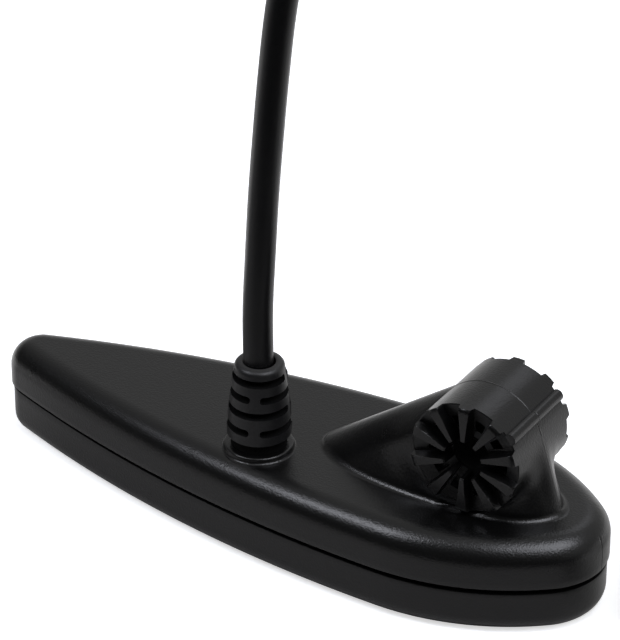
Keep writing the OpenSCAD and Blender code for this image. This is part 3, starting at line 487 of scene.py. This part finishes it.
def fairing():
    """Lens-shaped foot of the knuckle. Its foot is a smooth curve through given points. From each
    point of it a straight line rises to the barrel. The aft ridge touches the barrel's upper back,
    and the other lines aft of the widest place run beside the ridge until they meet the barrel. The
    lines further forward touch the barrel's front, so that the front flanks run into it without an
    edge. At the aft tip the line starts above a short upright end. Away from the two ridges the
    flanks are hollowed by d sin^2(180 s) at share s of the height, short aft ones less. A concave
    quarter round of radius f joins the foot to the flat top: at height h a line is moved out by
    f (1 - sqrt(1 - (1 - h / f)^2))."""
    fillet, sunk, steps, tip_height = 1.1, 0.6, 6, 0.95
    aft_hollow, front_hollow, full_rise = 0.7, 0.8, 10
    aft_ridge, front_ridge, below_skin, ridge_edge = 4.0, 2.5, 0.02, 0.05
    low_rows, high_rows = 11, 31
    mirror = [1, -1, 1]
    half = np.array([[x, y, 0] for x, y in FAIRING_FOOT], float)
    whole = smooth_path(np.concatenate([half[1:2] * mirror, half, half[-2:-1] * mirror]), steps)
    part = slice(steps, steps * len(half) + 1)
    foot, way = whole[part], directions(whole)[part]
    widest = foot[:, 1].argmax()
    pick = np.concatenate([np.arange(widest + 1), np.arange(widest, len(foot))])
    is_front = np.arange(len(pick)) > widest
    foot_x, foot_y = foot[pick, 0], foot[pick, 1]
    out_x, out_y = -way[pick, 1], way[pick, 0]
    on_ridge = np.exp(-(foot_y / np.where(is_front, front_ridge, aft_ridge)) ** 2)
    upright = tip_height * on_ridge * ~is_front
    run, drop = foot_x - KNUCKLE[0], TOP + upright - KNUCKLE[2]
    away = np.hypot(run, drop)
    spread = np.arccos((KNUCKLE_RADIUS - below_skin) / away)
    tangent = np.arctan2(drop, run) + np.where(is_front, spread, -spread)
    lean = tangent[0] - math.pi / 2
    past = run * math.cos(lean) + drop * math.sin(lean)
    climb = -past - np.sqrt(np.maximum(KNUCKLE_RADIUS ** 2 - away ** 2 + past ** 2, 0))
    meet = np.arctan2(drop + climb * math.sin(lean), run + climb * math.cos(lean))
    touch = np.where(is_front, tangent, meet)
    touch_x = KNUCKLE[0] + KNUCKLE_RADIUS * np.cos(touch)
    rise = KNUCKLE[2] + KNUCKLE_RADIUS * np.sin(touch) - TOP
    low = fillet * (1 - np.cos(np.linspace(0, math.pi / 2, low_rows)))
    low = np.clip(low[:, None] / rise, 0, 1)
    share = np.concatenate([low, low[-1:] + (1 - low[-1:]) * np.linspace(0, 1, high_rows)[1:, None]])
    h = share * rise
    grow = fillet * (1 - np.sqrt(1 - (1 - np.clip(h / fillet, 0, 1)) ** 2))
    sloped = np.maximum(h - upright, 0) / (rise - upright)
    hollow = np.where(is_front, front_hollow, aft_hollow * np.clip(rise / full_rise, 0, 1))
    hollow *= 1 - on_ridge
    sink = hollow * np.sin(math.pi * share) ** 2
    x = foot_x + (touch_x - foot_x) * sloped + out_x * (grow - sink)
    y = foot_y + out_y * (grow - sink)
    x[:, -1] += ridge_edge
    inner = KNUCKLE_RADIUS - sunk
    x = np.concatenate([x[:1], x, (KNUCKLE[0] + inner * np.cos(touch))[None]])
    y = np.concatenate([y[:1], y, y[-1:]])
    z = np.concatenate([0 * h[:1] - sunk, h, (KNUCKLE[2] + inner * np.sin(touch) - TOP)[None]]) + TOP
    near = np.stack([x, -y, z], -1)
    far = np.stack([x, y, z], -1)[:, -2:0:-1]
    pts = np.concatenate([near, far], 1)
    rows, cols = pts.shape[:2]
    n, last = len(pick), (rows - 1) * cols
    k = np.arange(1, n - 2)
    strip = np.stack([last + k, last + k + 1, last + cols - k - 1, last + cols - k], -1)
    faces = [grid(rows, cols), np.arange(cols)[None, ::-1], strip,
             [[last, last + 1, last + cols - 1], [last + n - 2, last + n - 1, last + n]]]
    return make("fairing", pts.reshape(-1, 3), faces, moulded_abs, "black_abs", crease=40)


def knuckle():
    """Barrel along Y with ten wedge ribs, pockets and a bore on each end. Station s runs from the
    middle of the bore out over the end face to the rim, along the barrel and back in on the other
    side. At angle a the end face is a shallow dish that falls towards the bore, less the pocket's
    depth, or the flat top of a rib; the barrel's radius is R plus a half-round bead at 37 degrees,
    with a hair's rise at the mould line."""
    ribs, bead_turn = 10, math.radians(37)
    bead_radius, dish, pocket, line_height = 1.2, 2.2, 1.6, 0.06
    rim_drop, tooth_drop = 0.15, 0.25
    pitch = math.radians(360 / ribs)
    rib_at = [-18, -14, -11.3, -10.7, -9.2, -7.6, -6, -5.6, 0, 5.6, 6, 7.6, 9.2, 10.7, 11.3, 14]
    rib_turns = np.arange(ribs)[:, None] * pitch + math.pi / 2 + np.radians(rib_at)
    bead_at = np.radians([0, 1.2, 2.4, 3.5, 4.4, 5.1, 5.6, 5.85, 6.0, 6.6])
    bead_at = np.concatenate([-bead_at[:0:-1], bead_at])
    a = np.concatenate([rib_turns.ravel(), bead_turn + bead_at])
    a = np.unique(np.round(np.mod(a, 2 * math.pi), 6))
    off = np.abs(np.mod(a - math.pi / 2 + pitch / 2, pitch) - pitch / 2)
    rib = np.interp(off, np.radians([0, 5.6, 6, 7.6, 18]), [1, 1, 0.96, 0, 0])
    pocket_share = np.interp(off, np.radians([0, 10.7, 11.3, 18]), [0, 0, 1, 1])
    from_bead = apart(a, bead_turn) * KNUCKLE_RADIUS / bead_radius
    bead = bead_radius * np.sqrt(np.clip(1 - from_bead ** 2, 0, 1))
    stations = np.array([3.4, 3.85, 4.05, 4.35, 5.9, 6.1, 8.4, 8.6, 10.6, 11.1, 11.38])
    rib_on = np.array([0, 0, 0.94, 1, 1, 1, 1, 1, 1, 0.98, 0.88])
    pocket_on = np.array([0, 0, 0, 0, 0, 1, 1, 0, 0, 0, 0.0])
    floor = END_FACE - dish * (1 - (stations - BORE) / (KNUCKLE_RADIUS - BORE))
    tooth = END_FACE + RIB_HEIGHT
    face_y = (floor[:, None] + (tooth - floor)[:, None] * rib_on[:, None] * rib
              - pocket * pocket_on[:, None] * pocket_share)
    face_r = np.broadcast_to(stations[:, None], face_y.shape)
    rim_y = END_FACE - rim_drop + (RIB_HEIGHT - tooth_drop) * rib
    barrel = np.concatenate([np.linspace(1, 0.03, 9), [0.01, 0, -0.01], np.linspace(-0.03, -1, 9)])
    barrel_r = KNUCKLE_RADIUS + bead + line_height * (barrel == 0)[:, None]
    middle = np.zeros((1, len(a)))
    ys = np.concatenate([middle, face_y, barrel[:, None] * rim_y, -face_y[::-1]])
    rs = np.concatenate([middle + BORE, face_r, barrel_r, face_r[::-1]])
    x = KNUCKLE[0] + rs * np.cos(a)
    z = KNUCKLE[2] + rs * np.sin(a)
    pts = np.stack([x, ys, z], -1).reshape(-1, 3)
    faces = [grid(len(ys), len(a), close_rows=True)]
    obj = make("knuckle", pts, faces, moulded_abs, "black_abs", crease=30)
    # The faces round the bore, two bands at each end, take the painted shade.
    finish = np.zeros(len(obj.data.polygons), int)
    shaded_rows = 2 * len(a)
    finish[:shaded_rows] = 1
    finish[-shaded_rows:] = 1
    obj.data.materials.append(bore_painted_shade)
    obj.data.polygons.foreach_set("material_index", finish)
    return obj


fairing()
knuckle()


# Boot and collar
def collar():
    """Raised ring round the boot: a profile with a concave foot, carried round the boot's axis."""
    profile = [[5.6, 18.5], [7.6, 19.6], [7.5, 20.38], [7.3, 20.46], [7.12, 20.6], [7.02, 20.85],
               [6.97, 21.2], [6.9, 21.42], [6.75, 21.54], [6.55, 21.6], [5.6, 21.6]]
    sides = 96
    pts = turned(profile, sides, BOOT)
    make("collar", pts, [grid(len(profile), sides, close_rows=True)], moulded_abs, "black_abs", crease=50)


def boot():
    """Tapered strain relief. Its radius falls towards the top, faster as it goes up. At four levels
    two slots with round ends are cut to its core, each sweeping 160 degrees, turned a quarter turn
    from level to level, and at its foot a groove goes all the way round, down into the collar. A
    slot's half height at angle d from its middle is h sqrt(1 - e^2), where e runs from 0 to 1 over
    its round end. A ragged flash stands on the camera's right, with a lower one opposite."""
    slots = [[6.4, 90], [10.25, 0], [13.75, 90], [17.2, 0]]
    slot_edges = ((-1, 0.3, 0), (-1, 0.07, 0), (-1, 0, 1), (1, 0, 1), (1, 0.07, 0), (1, 0.3, 0))
    half, core, reach, end = 0.7, 3.4, math.radians(80), math.radians(7)
    front, flash_turn = math.radians(-67), math.radians(31.7)
    fin_half, fin_height, fin_foot, far_share = 0.05, 0.34, 4, 0.4
    lean, lean_height, past_end = 0.3, 20, 0.006
    fin_at = flash_turn - front
    ends = reach - end * np.array([1, 0.8, 0.6, 0.4, 0.25, 0.12, 0.04, 0])
    ends = np.concatenate([ends, [reach + past_end]])
    quarter = np.arange(4)[:, None] * math.pi / 2
    even = np.radians(np.arange(0, 360, 5.0))
    fin = fin_half * np.array([-1, 0, 1])
    a = np.concatenate([even, (quarter + ends).ravel(), (quarter - ends).ravel(),
                        fin_at + fin, fin_at + math.pi + fin])
    a = np.unique(np.round(np.mod(a, 2 * math.pi), 4))
    flat = np.ones_like(a)
    heights = [flat * h for h in (0.1, 0.3, 3.6, 3.66, 3.9)]
    cuts = [flat * c for c in (0.28, 0.28, 0.28, 0, 0)]
    # Rows whose faces take the painted shade of the slots' insides
    inside = [0 * flat, flat, flat, flat, flat, 0 * flat]
    for mid, turn in slots:
        d = np.abs(apart(2 * a, 2 * math.radians(turn))) / 2
        open_here = half * np.sqrt(1 - np.clip((d - reach + end) / end, 0, 1) ** 2)
        is_open = (d < reach - 1e-4).astype(float)
        for side, edge, cut in slot_edges:
            heights.append(mid + side * (open_here + edge))
            cuts.append(cut * is_open)
        wall = is_open * np.roll(is_open, -1)
        inside += [0 * flat, 0 * flat, wall, wall, wall, 0 * flat]
    h, cut = np.array(heights), np.array(cuts)
    outer = np.interp(h, [3.7, 6, 9, 12.7, 15, 17, 18.9], [6.42, 6.3, 6.07, 5.74, 5.5, 5.27, 5.0])
    from_fin, from_far = np.abs(apart(a, fin_at)), np.abs(apart(a, fin_at + math.pi))
    flash = np.clip(1 - from_fin / fin_half, 0, 1) + far_share * np.clip(1 - from_far / fin_half, 0, 1)
    ragged = fin_height * (0.6 + 0.4 * np.sin(2.3 * h) * np.sin(1.1 * h + 0.7)) * (h > fin_foot)
    r = outer - cut * (outer - core) + (1 - cut) * flash * ragged
    top = rounded_profile([[5.05, 18.45], [4.98, 19.85], [3.15, 19.85], [3.1, 17.0]], [0, 1.25, 0.35, 0])
    foot = np.array([[3.2, 0.05], [5.4, 0.05]])
    rows = np.concatenate([np.repeat(foot[:, :1], len(a), 1), r, np.repeat(top[:, :1], len(a), 1)])
    hs = np.concatenate([np.repeat(foot[:, 1:], len(a), 1), h, np.repeat(top[:, 1:], len(a), 1)]) + TOP
    x = BOOT[0] + lean * (hs - TOP) / lean_height + rows * np.cos(a + front)
    y = BOOT[1] + rows * np.sin(a + front)
    pts = np.stack([x, y, hs], -1).reshape(-1, 3)
    obj = make("boot", pts, [grid(len(rows), len(a), close_rows=True)], boot_rubber, "boot_rubber")
    # The faces inside the slots take the painted shade.
    finish = np.zeros(len(rows) * len(a), int)
    marked = np.concatenate(inside)
    finish[:len(marked)] = marked
    obj.data.materials.append(slot_painted_shade)
    obj.data.polygons.foreach_set("material_index", finish)
    return obj


collar()
cable_boot = boot()
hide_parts("cable_boot")


# Tie round the waist of the hank
def tie_path(grow, corner_steps):
    """Closed path of a rounded rectangle round the hank, seen along X: (y, z) points and outward
    normals. Between the two runs the upper side sags by a cosine."""
    reach, low, high = TIE_REACH + grow, TIE_THICKNESS - grow, TIE_HEIGHT - TIE_THICKNESS + grow
    clearance, sag_depth, sag_reach = 0.2, 0.9, 13
    corner = CABLE / 2 + clearance + grow
    quarter = np.linspace(0, math.pi / 2, corner_steps)
    spans = []
    for i, (cy, cz) in enumerate(((1, 1), (-1, 1), (-1, -1), (1, -1))):
        a = quarter + i * math.pi / 2
        centre = np.array([cy * (reach - corner), high - corner if cz > 0 else low + corner])
        normal = np.stack([np.cos(a), np.sin(a)], -1)
        spans.append(np.concatenate([centre + corner * normal, normal], 1))
        if i in (0, 2):
            run = np.linspace(1, -1, 33)[1:-1] * (reach - corner) * cy
            level, up = (high, 1.0) if i == 0 else (low, -1.0)
            sag = sag_depth * (1 + np.cos(math.pi * np.clip(run / sag_reach, -1, 1))) / 2 * (i == 0)
            spans.append(np.stack([run, level - sag, 0 * run, 0 * run + up], -1))
    return np.concatenate(spans)


def strap(path, thickness, width, closed):
    """A flat strap with round edges along a path of (y, z, normal y, normal z): its section is a
    flattened ring, w |cos a|^0.34 across and t sqrt|sin a| through, pinched a little along its hem."""
    hem_depth, hem_in, hem_width = 0.22, 1.3, 0.28
    a = np.linspace(0, 2 * math.pi, 28, endpoint=False)
    across = width / 2 * np.sign(np.cos(a)) * np.abs(np.cos(a)) ** 0.34
    hem = 1 - hem_depth * np.exp(-((np.abs(across) - width / 2 + hem_in) / hem_width) ** 2)
    through = thickness / 2 * np.sign(np.sin(a)) * np.abs(np.sin(a)) ** 0.5 * hem
    y = path[:, None, 0] + path[:, None, 2] * through
    z = path[:, None, 1] + path[:, None, 3] * through
    x = np.broadcast_to(across, y.shape)
    pts = np.stack([HANK[0] + x, HANK[1] + y, z], -1).reshape(-1, 3)
    n, m = len(path), len(a)
    faces = [grid(n, m, close_rows=closed)]
    if not closed:
        faces += [np.arange(m)[None, ::-1], (np.arange(m) + (n - 1) * m)[None]]
    return pts, faces


def tie():
    """Hook-and-loop strap: one band round the hank and the tail of it laid over the band on the near
    side and part of the top."""
    tail_start, tail_low, tail_end, steps, corner_steps = -14, 12, 9, 8, 9
    tail_lift, tail_thickness, tail_width = TIE_THICKNESS * 1.42, TIE_THICKNESS * 0.8, TIE_WIDTH - 0.3
    band_thickness, band_width = TIE_THICKNESS - 0.04, TIE_WIDTH - 0.1
    band = tie_path(TIE_THICKNESS / 2, corner_steps)
    tail = tie_path(tail_lift, corner_steps)
    outward = (tail[:, 3] > 0.01) | (tail[:, 2] < -0.9)
    over = tail[(tail[:, 0] < tail_start) & (tail[:, 1] > tail_low) & outward]
    down = np.zeros((steps, 4))
    down[:, 0] = over[-1, 0]
    down[:, 1] = np.linspace(over[-1, 1], tail_end, steps + 1)[1:]
    down[:, 2] = -1.0
    over = np.concatenate([over, down])
    band_pts, band_faces = strap(band, band_thickness, band_width, True)
    tail_pts, tail_faces = strap(over, tail_thickness, tail_width, False)
    pts = np.concatenate([band_pts, tail_pts])
    faces = band_faces + [f + len(band_pts) for f in tail_faces]
    return make("hook_and_loop_tie", pts, faces, tie_fabric, "tie_fabric", flip=True)


hank_strap = tie()
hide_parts("hank_tie")


# Plug at the end of the cable
def swept_round(stations, radii, sides, name, material, slot, body=BODY, crease=35.0):
    """A piece round the plug's axis: at station i along it and angle a_k its radius is radii[i, k]."""
    a = np.arange(sides) * 2 * math.pi / sides
    x = np.broadcast_to(np.asarray(stations)[:, None], radii.shape)
    pts = np.stack([x, radii * np.cos(a), radii * np.sin(a)], -1).reshape(-1, 3) + PLUG
    return make(name, pts, [grid(len(radii), sides, close_rows=True)], material, slot, body, crease)


def plug_boot():
    """Tapered strain relief of the plug with five round grooves: radius from tip to root in a
    straight line, less a groove of depth d (1 + cos) / 2."""
    length, tip, root = 22.0, 4.3, 6.5
    groove_depth, groove_half, bore = 0.75, 0.95, 3.02
    sides = 64
    x = np.linspace(0.6, length, 110)
    groove = np.zeros_like(x)
    for middle in (4.2, 7.4, 10.6, 13.8, 17.0):
        groove += groove_depth * (1 + np.cos(math.pi * np.clip((x - middle) / groove_half, -1, 1))) / 2
    outer = tip + (root - tip) * x / length - groove
    stations = np.concatenate([[3.0, 0.0, 0.12], x, [length, length]])
    radii = np.concatenate([[bore, 3.1, 4.0], outer, [root - 1, bore]])
    radii = np.repeat(radii[:, None], sides, 1)
    return swept_round(stations, radii, sides, "plug_strain_relief", boot_rubber, "boot_rubber")


def plug_body():
    """Grip with twelve flutes and a stop collar, journal under the ring with a groove for the clip,
    and a hollow nose with a groove for its seal. Radius of the grip at angle a is R less the flute's
    depth times (1 + cos 12 a) / 2, faded out at both ends."""
    sides, flutes, flute_depth, grip_radius = 144, 12, 0.55, 8.0
    a = np.arange(sides) * 2 * math.pi / sides
    root = [[22.0, 3.1], [22.0, 7.3], [22.3, 7.75], [22.9, 8.0], [23.6, 8.0]]
    grip = [[x, grip_radius] for x in np.linspace(24.0, 33.0, 13)]
    nose = [[33.4, 8.0], [34.0, 8.0], [34.2, 7.8], [34.5, 7.8], [34.7, 8.0], [35.5, 8.0], [35.9, 7.85],
            [36.0, 7.6], [36.0, 7.2], [43.0, 7.2], [43.0, 6.6], [44.0, 6.6], [44.0, 6.2], [47.95, 6.2],
            [48.0, 5.7], [49.4, 5.7], [49.45, 6.2], [57.4, 6.2], [57.8, 6.05], [58.0, 5.75],
            [58.0, 5.3], [57.7, 5.0], [44.0, 5.0], [39.0, 5.0], [39.0, 3.1]]
    x, r = np.array(root + grip + nose).T
    step = np.arange(len(grip))
    fade = np.zeros_like(x)
    fade[len(root):len(root) + len(grip)] = ease(np.minimum(step, step[::-1]) / 2)
    radii = r[:, None] - flute_depth * fade[:, None] * (1 + np.cos(flutes * a)) / 2
    return swept_round(x, radii, sides, "plug_shell", plug_nylon, "plug_nylon", crease=32)


def coupling_ring():
    """Screw ring with eighteen grip ribs outside and a thread of 1.5 mm pitch in its mouth. Outside,
    the radius at angle a is R less the rib height where a smooth step of cos 18 a is low; inside the
    mouth it is r - t (1 + cos(360 x / pitch - a)) / 2, which is one helix."""
    sides, ribs, rib_height, rib_foot = 216, 18, 0.7, 10
    pitch, thread_radius, thread_depth, fade_length = 1.5, 8.7, 0.5, 1.2
    mouth, thread_end, rib_low, rib_flank = 54.6, 43.6, 0.35, 0.5
    a = np.arange(sides) * 2 * math.pi / sides
    between = 1 - ease((np.cos(ribs * a) + rib_low) / rib_flank)
    outside = [[36.3, 8.6], [36.3, 9.2], [36.6, 9.7], [37.2, 9.8], [37.4, 9.8], [37.8, 10.35],
               [38.3, 10.5], [53.2, 10.5], [53.7, 10.35], [54.1, 9.8], [54.4, 9.75], [54.8, 9.5],
               [55.0, 9.1], [55.0, 8.85]]
    x, r = np.array(outside).T[:, :, None]
    outer = r - rib_height * (r > rib_foot) * between
    thread_x = np.linspace(mouth, thread_end, 89)[:, None]
    fade = ease((mouth - thread_x) / fade_length) * ease((thread_x - thread_end) / fade_length)
    helix = 2 * math.pi * thread_x / pitch - a
    thread = thread_radius - thread_depth * fade * (1 + np.cos(helix)) / 2
    inside = np.array([[42.7, 8.7], [42.7, 7.3], [42.4, 7.25], [36.6, 7.25], [36.3, 7.45]])
    stations = np.concatenate([x, thread_x, inside[:, :1]])[:, 0]
    radii = np.concatenate([outer, thread, np.repeat(inside[:, 1:], sides, 1)])
    return swept_round(stations, radii, sides, "screw_ring", plug_nylon, "plug_nylon", RING, crease=40)


def nose_seal():
    """Sealing ring in the nose's groove: a section with round corners carried round the plug's axis."""
    section = [[5.72, 48.05], [6.42, 48.05], [6.42, 49.35], [5.72, 49.35]]
    profile = rounded_profile(section, [0.3] * len(section))
    sides = 72
    pts = turned(profile, sides, PLUG, order=(2, 0, 1))
    faces = [grid(len(profile), sides, close_rows=True)]
    return make("nose_seal", pts, faces, slot_finish["seal_rubber"], "seal_rubber")


relief = plug_boot()
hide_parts("plug_boot")
plug_shell = plug_body()
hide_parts("plug_body")
screw_ring = coupling_ring()
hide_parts("coupling_ring")
seal = nose_seal()
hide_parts("plug_seal")

# Nodes that keep their shapes take the finish of their slot
for entry in frame["record"]["subparts"]:
    obj = frame["nodes"][entry["node"]]
    obj.data.materials.clear()
    obj.data.materials.append(slot_finish[entry["material_slot"]])

# The stored hank lies just outside the picture, and the glossy nose doesn't mirror it
for piece in [cable, hank_strap, relief, plug_shell, screw_ring]:
    piece.visible_glossy = False


# Floor and light
LAMP_DISTANCE = 0.9
TOWARDS_VIEWER = (0.526, -0.85, 0.0)
BACK_LEFT = (-0.66, 0.75, 0.0)
BACK_AND_UP = (0.35, 0.65, 0.67)
SMOOTH = {"interpolation_type": "SMOOTHSTEP"}


def soft_box(name, azimuth, elevation, width, height, watts):
    """Area lamp that hangs in a direction from the object and faces it."""
    az, el = math.radians(azimuth), math.radians(elevation)
    back = np.array([math.cos(el) * math.cos(az), math.cos(el) * math.sin(az), math.sin(el)])
    right = np.array([-math.sin(az), math.cos(az), 0.0])
    lamp = bpy.data.lights.new(name, "AREA")
    lamp.shape, lamp.size, lamp.size_y, lamp.energy = "RECTANGLE", width, height, watts
    lamp.color = linear("#f4f6ff")[:3]
    obj = bpy.data.objects.new(name, lamp)
    obj.visible_camera = False
    stand(obj, right, np.cross(back, right), back, LAMP_DISTANCE * back)


def ray_kinds(tree):
    """Shares of a ray that comes from the camera and of one that was mirrored or let through."""
    path = node(tree, "LightPath").outputs
    mirrored = node(tree, "Math", {0: path["Is Glossy Ray"], 1: path["Is Transmission Ray"]},
                    operation="MAXIMUM")
    return path["Is Camera Ray"], mirrored


def paper_floor():
    """Sheet of paper. To the camera it is white paper that shows the object's shadow; past the nose it
    glows whiter, painted light that washes out the hank's shadow there, and far off it glows white. As
    light its grey colour turns dark further in front, painted shade. In mirrors it glows white behind and
    to the sides, and whiter in a band behind on the left, painted reflection."""
    half = 4.0
    corners = [(-half, -half, 0), (half, -half, 0), (half, half, 0), (-half, half, 0)]
    mesh = bpy.data.meshes.new("paper_floor")
    mesh.from_pydata(corners, [], [(0, 1, 2, 3)])
    floor = bpy.data.objects.new("paper_floor", mesh)
    scene.collection.objects.link(floor)
    paper = bpy.data.materials.new("white_paper")
    paper.use_nodes = True
    tree = paper.node_tree
    tree.nodes.clear()
    seen, mirrored = ray_kinds(tree)
    place = node(tree, "TexCoord").outputs["Object"]
    axes = node(tree, "SeparateXYZ", {"Vector": place}).outputs

    # Painted shade: as light, the paper's grey colour turns dark further in front of the object.
    in_front = node(tree, "VectorMath", {0: place, 1: TOWARDS_VIEWER}, operation="DOT_PRODUCT")
    dim = node(tree, "MapRange", {"Value": in_front, "From Min": 0.055, "From Max": 0.13}, **SMOOTH)
    grey = node(tree, "Mix", {0: dim, 6: linear("#b8b6b3"), 7: linear("#303030")}, data_type="RGBA")
    colour = node(tree, "Mix", {0: seen, 6: grey, 7: linear("#f6f8fa")}, data_type="RGBA")

    # Painted reflection: mirrored rays see the paper glow white behind and to the sides, and more in a
    # band behind on the left, but not in front.
    to_side = node(tree, "Math", {0: axes["X"]}, operation="ABSOLUTE")
    around = node(tree, "Math", {0: to_side, 1: 0.3, 2: axes["Y"]}, operation="MULTIPLY_ADD")
    bright = node(tree, "MapRange", {"Value": around, "From Min": 0.0, "From Max": 0.045, "To Max": 0.48},
                  **SMOOTH)
    leftward = node(tree, "VectorMath", {0: place, 1: BACK_LEFT}, operation="DOT_PRODUCT")
    beyond = node(tree, "MapRange", {"Value": leftward, "From Min": 0.05, "From Max": 0.08,
                                     "To Max": 0.5}, **SMOOTH)
    within = node(tree, "MapRange", {"Value": leftward, "From Min": 0.135, "From Max": 0.16,
                                     "To Min": 1.0, "To Max": 0.0}, **SMOOTH)
    brighter = node(tree, "Math", {0: beyond, 1: within, 2: bright}, operation="MULTIPLY_ADD")
    near_by = node(tree, "Math", {0: 1.0, 1: dim}, operation="SUBTRACT")
    painted_reflection_level = node(tree, "Math", {0: near_by, 1: brighter}, operation="MULTIPLY")
    painted_reflection = node(tree, "Math", {0: mirrored, 1: painted_reflection_level}, operation="MULTIPLY")

    # Painted light: the paper glows whiter past the nose, which washes out the hank's shadow there; far
    # off it glows white.
    painted_light_past_nose = node(tree, "MapRange", {"Value": axes["X"], "From Min": 0.06, "From Max": 0.075,
                                        "To Min": 0.62, "To Max": 0.8})
    length = node(tree, "VectorMath", {0: place}, operation="LENGTH")
    far_off = node(tree, "MapRange", {"Value": length, "From Min": 0.4, "From Max": 1.2,
                                      "To Min": 0.62, "To Max": 1.0})
    whiter = node(tree, "Math", {0: painted_light_past_nose, 1: far_off}, operation="MAXIMUM")
    glow = node(tree, "Math", {0: seen, 1: whiter, 2: painted_reflection}, operation="MULTIPLY_ADD")

    lit = node(tree, "BsdfDiffuse", {"Color": colour})
    white = node(tree, "Emission", {"Color": linear("#ffffff"), "Strength": glow})
    both = node(tree, "AddShader", {0: lit, 1: white})
    node(tree, "OutputMaterial", {"Surface": both})
    mesh.materials.append(paper)


def studio_world():
    """White to the camera. As light, a pale backdrop behind and above the object that fades to a dim
    room in front of it, a little brighter in mirrors, with a brighter band low down on the left."""
    world = bpy.data.worlds.new("studio")
    world.use_nodes = True
    tree = world.node_tree
    tree.nodes.clear()
    seen, mirrored = ray_kinds(tree)
    way = node(tree, "TexCoord").outputs["Generated"]
    behind = node(tree, "VectorMath", {0: way, 1: BACK_AND_UP}, operation="DOT_PRODUCT")
    level = node(tree, "MapRange", {"Value": behind, "From Min": -0.15, "From Max": 0.75,
                                    "To Min": 0.05, "To Max": 0.4}, **SMOOTH)
    lift = node(tree, "Math", {0: mirrored, 1: 0.15, 2: 1.0}, operation="MULTIPLY_ADD")
    room = node(tree, "Math", {0: level, 1: lift}, operation="MULTIPLY")
    leftward = node(tree, "VectorMath", {0: way, 1: BACK_LEFT}, operation="DOT_PRODUCT")
    left_wall = node(tree, "MapRange", {"Value": leftward, "From Min": 0.7, "From Max": 0.95,
                                        "To Max": 0.55}, **SMOOTH)
    height = node(tree, "SeparateXYZ", {"Vector": way}).outputs["Z"]
    low_down = node(tree, "MapRange", {"Value": height, "From Min": 0.06, "From Max": 0.28,
                                       "To Min": 1.0, "To Max": 0.0}, **SMOOTH)
    light = node(tree, "Math", {0: left_wall, 1: low_down, 2: room}, operation="MULTIPLY_ADD")
    strength = node(tree, "Mix", {0: seen, 2: light, 3: 1.0}, data_type="FLOAT")
    back = node(tree, "Background", {"Color": linear("#ffffff"), "Strength": strength})
    node(tree, "OutputWorld", {"Surface": back})
    scene.world = world


paper_floor()
studio_world()
soft_box("left_box", azimuth=-130, elevation=53, width=0.3, height=0.3, watts=2.6)
soft_box("right_box", azimuth=-12, elevation=58, width=0.6, height=0.5, watts=4.6)
soft_box("back_box", azimuth=90, elevation=46, width=0.3, height=0.26, watts=0.26)
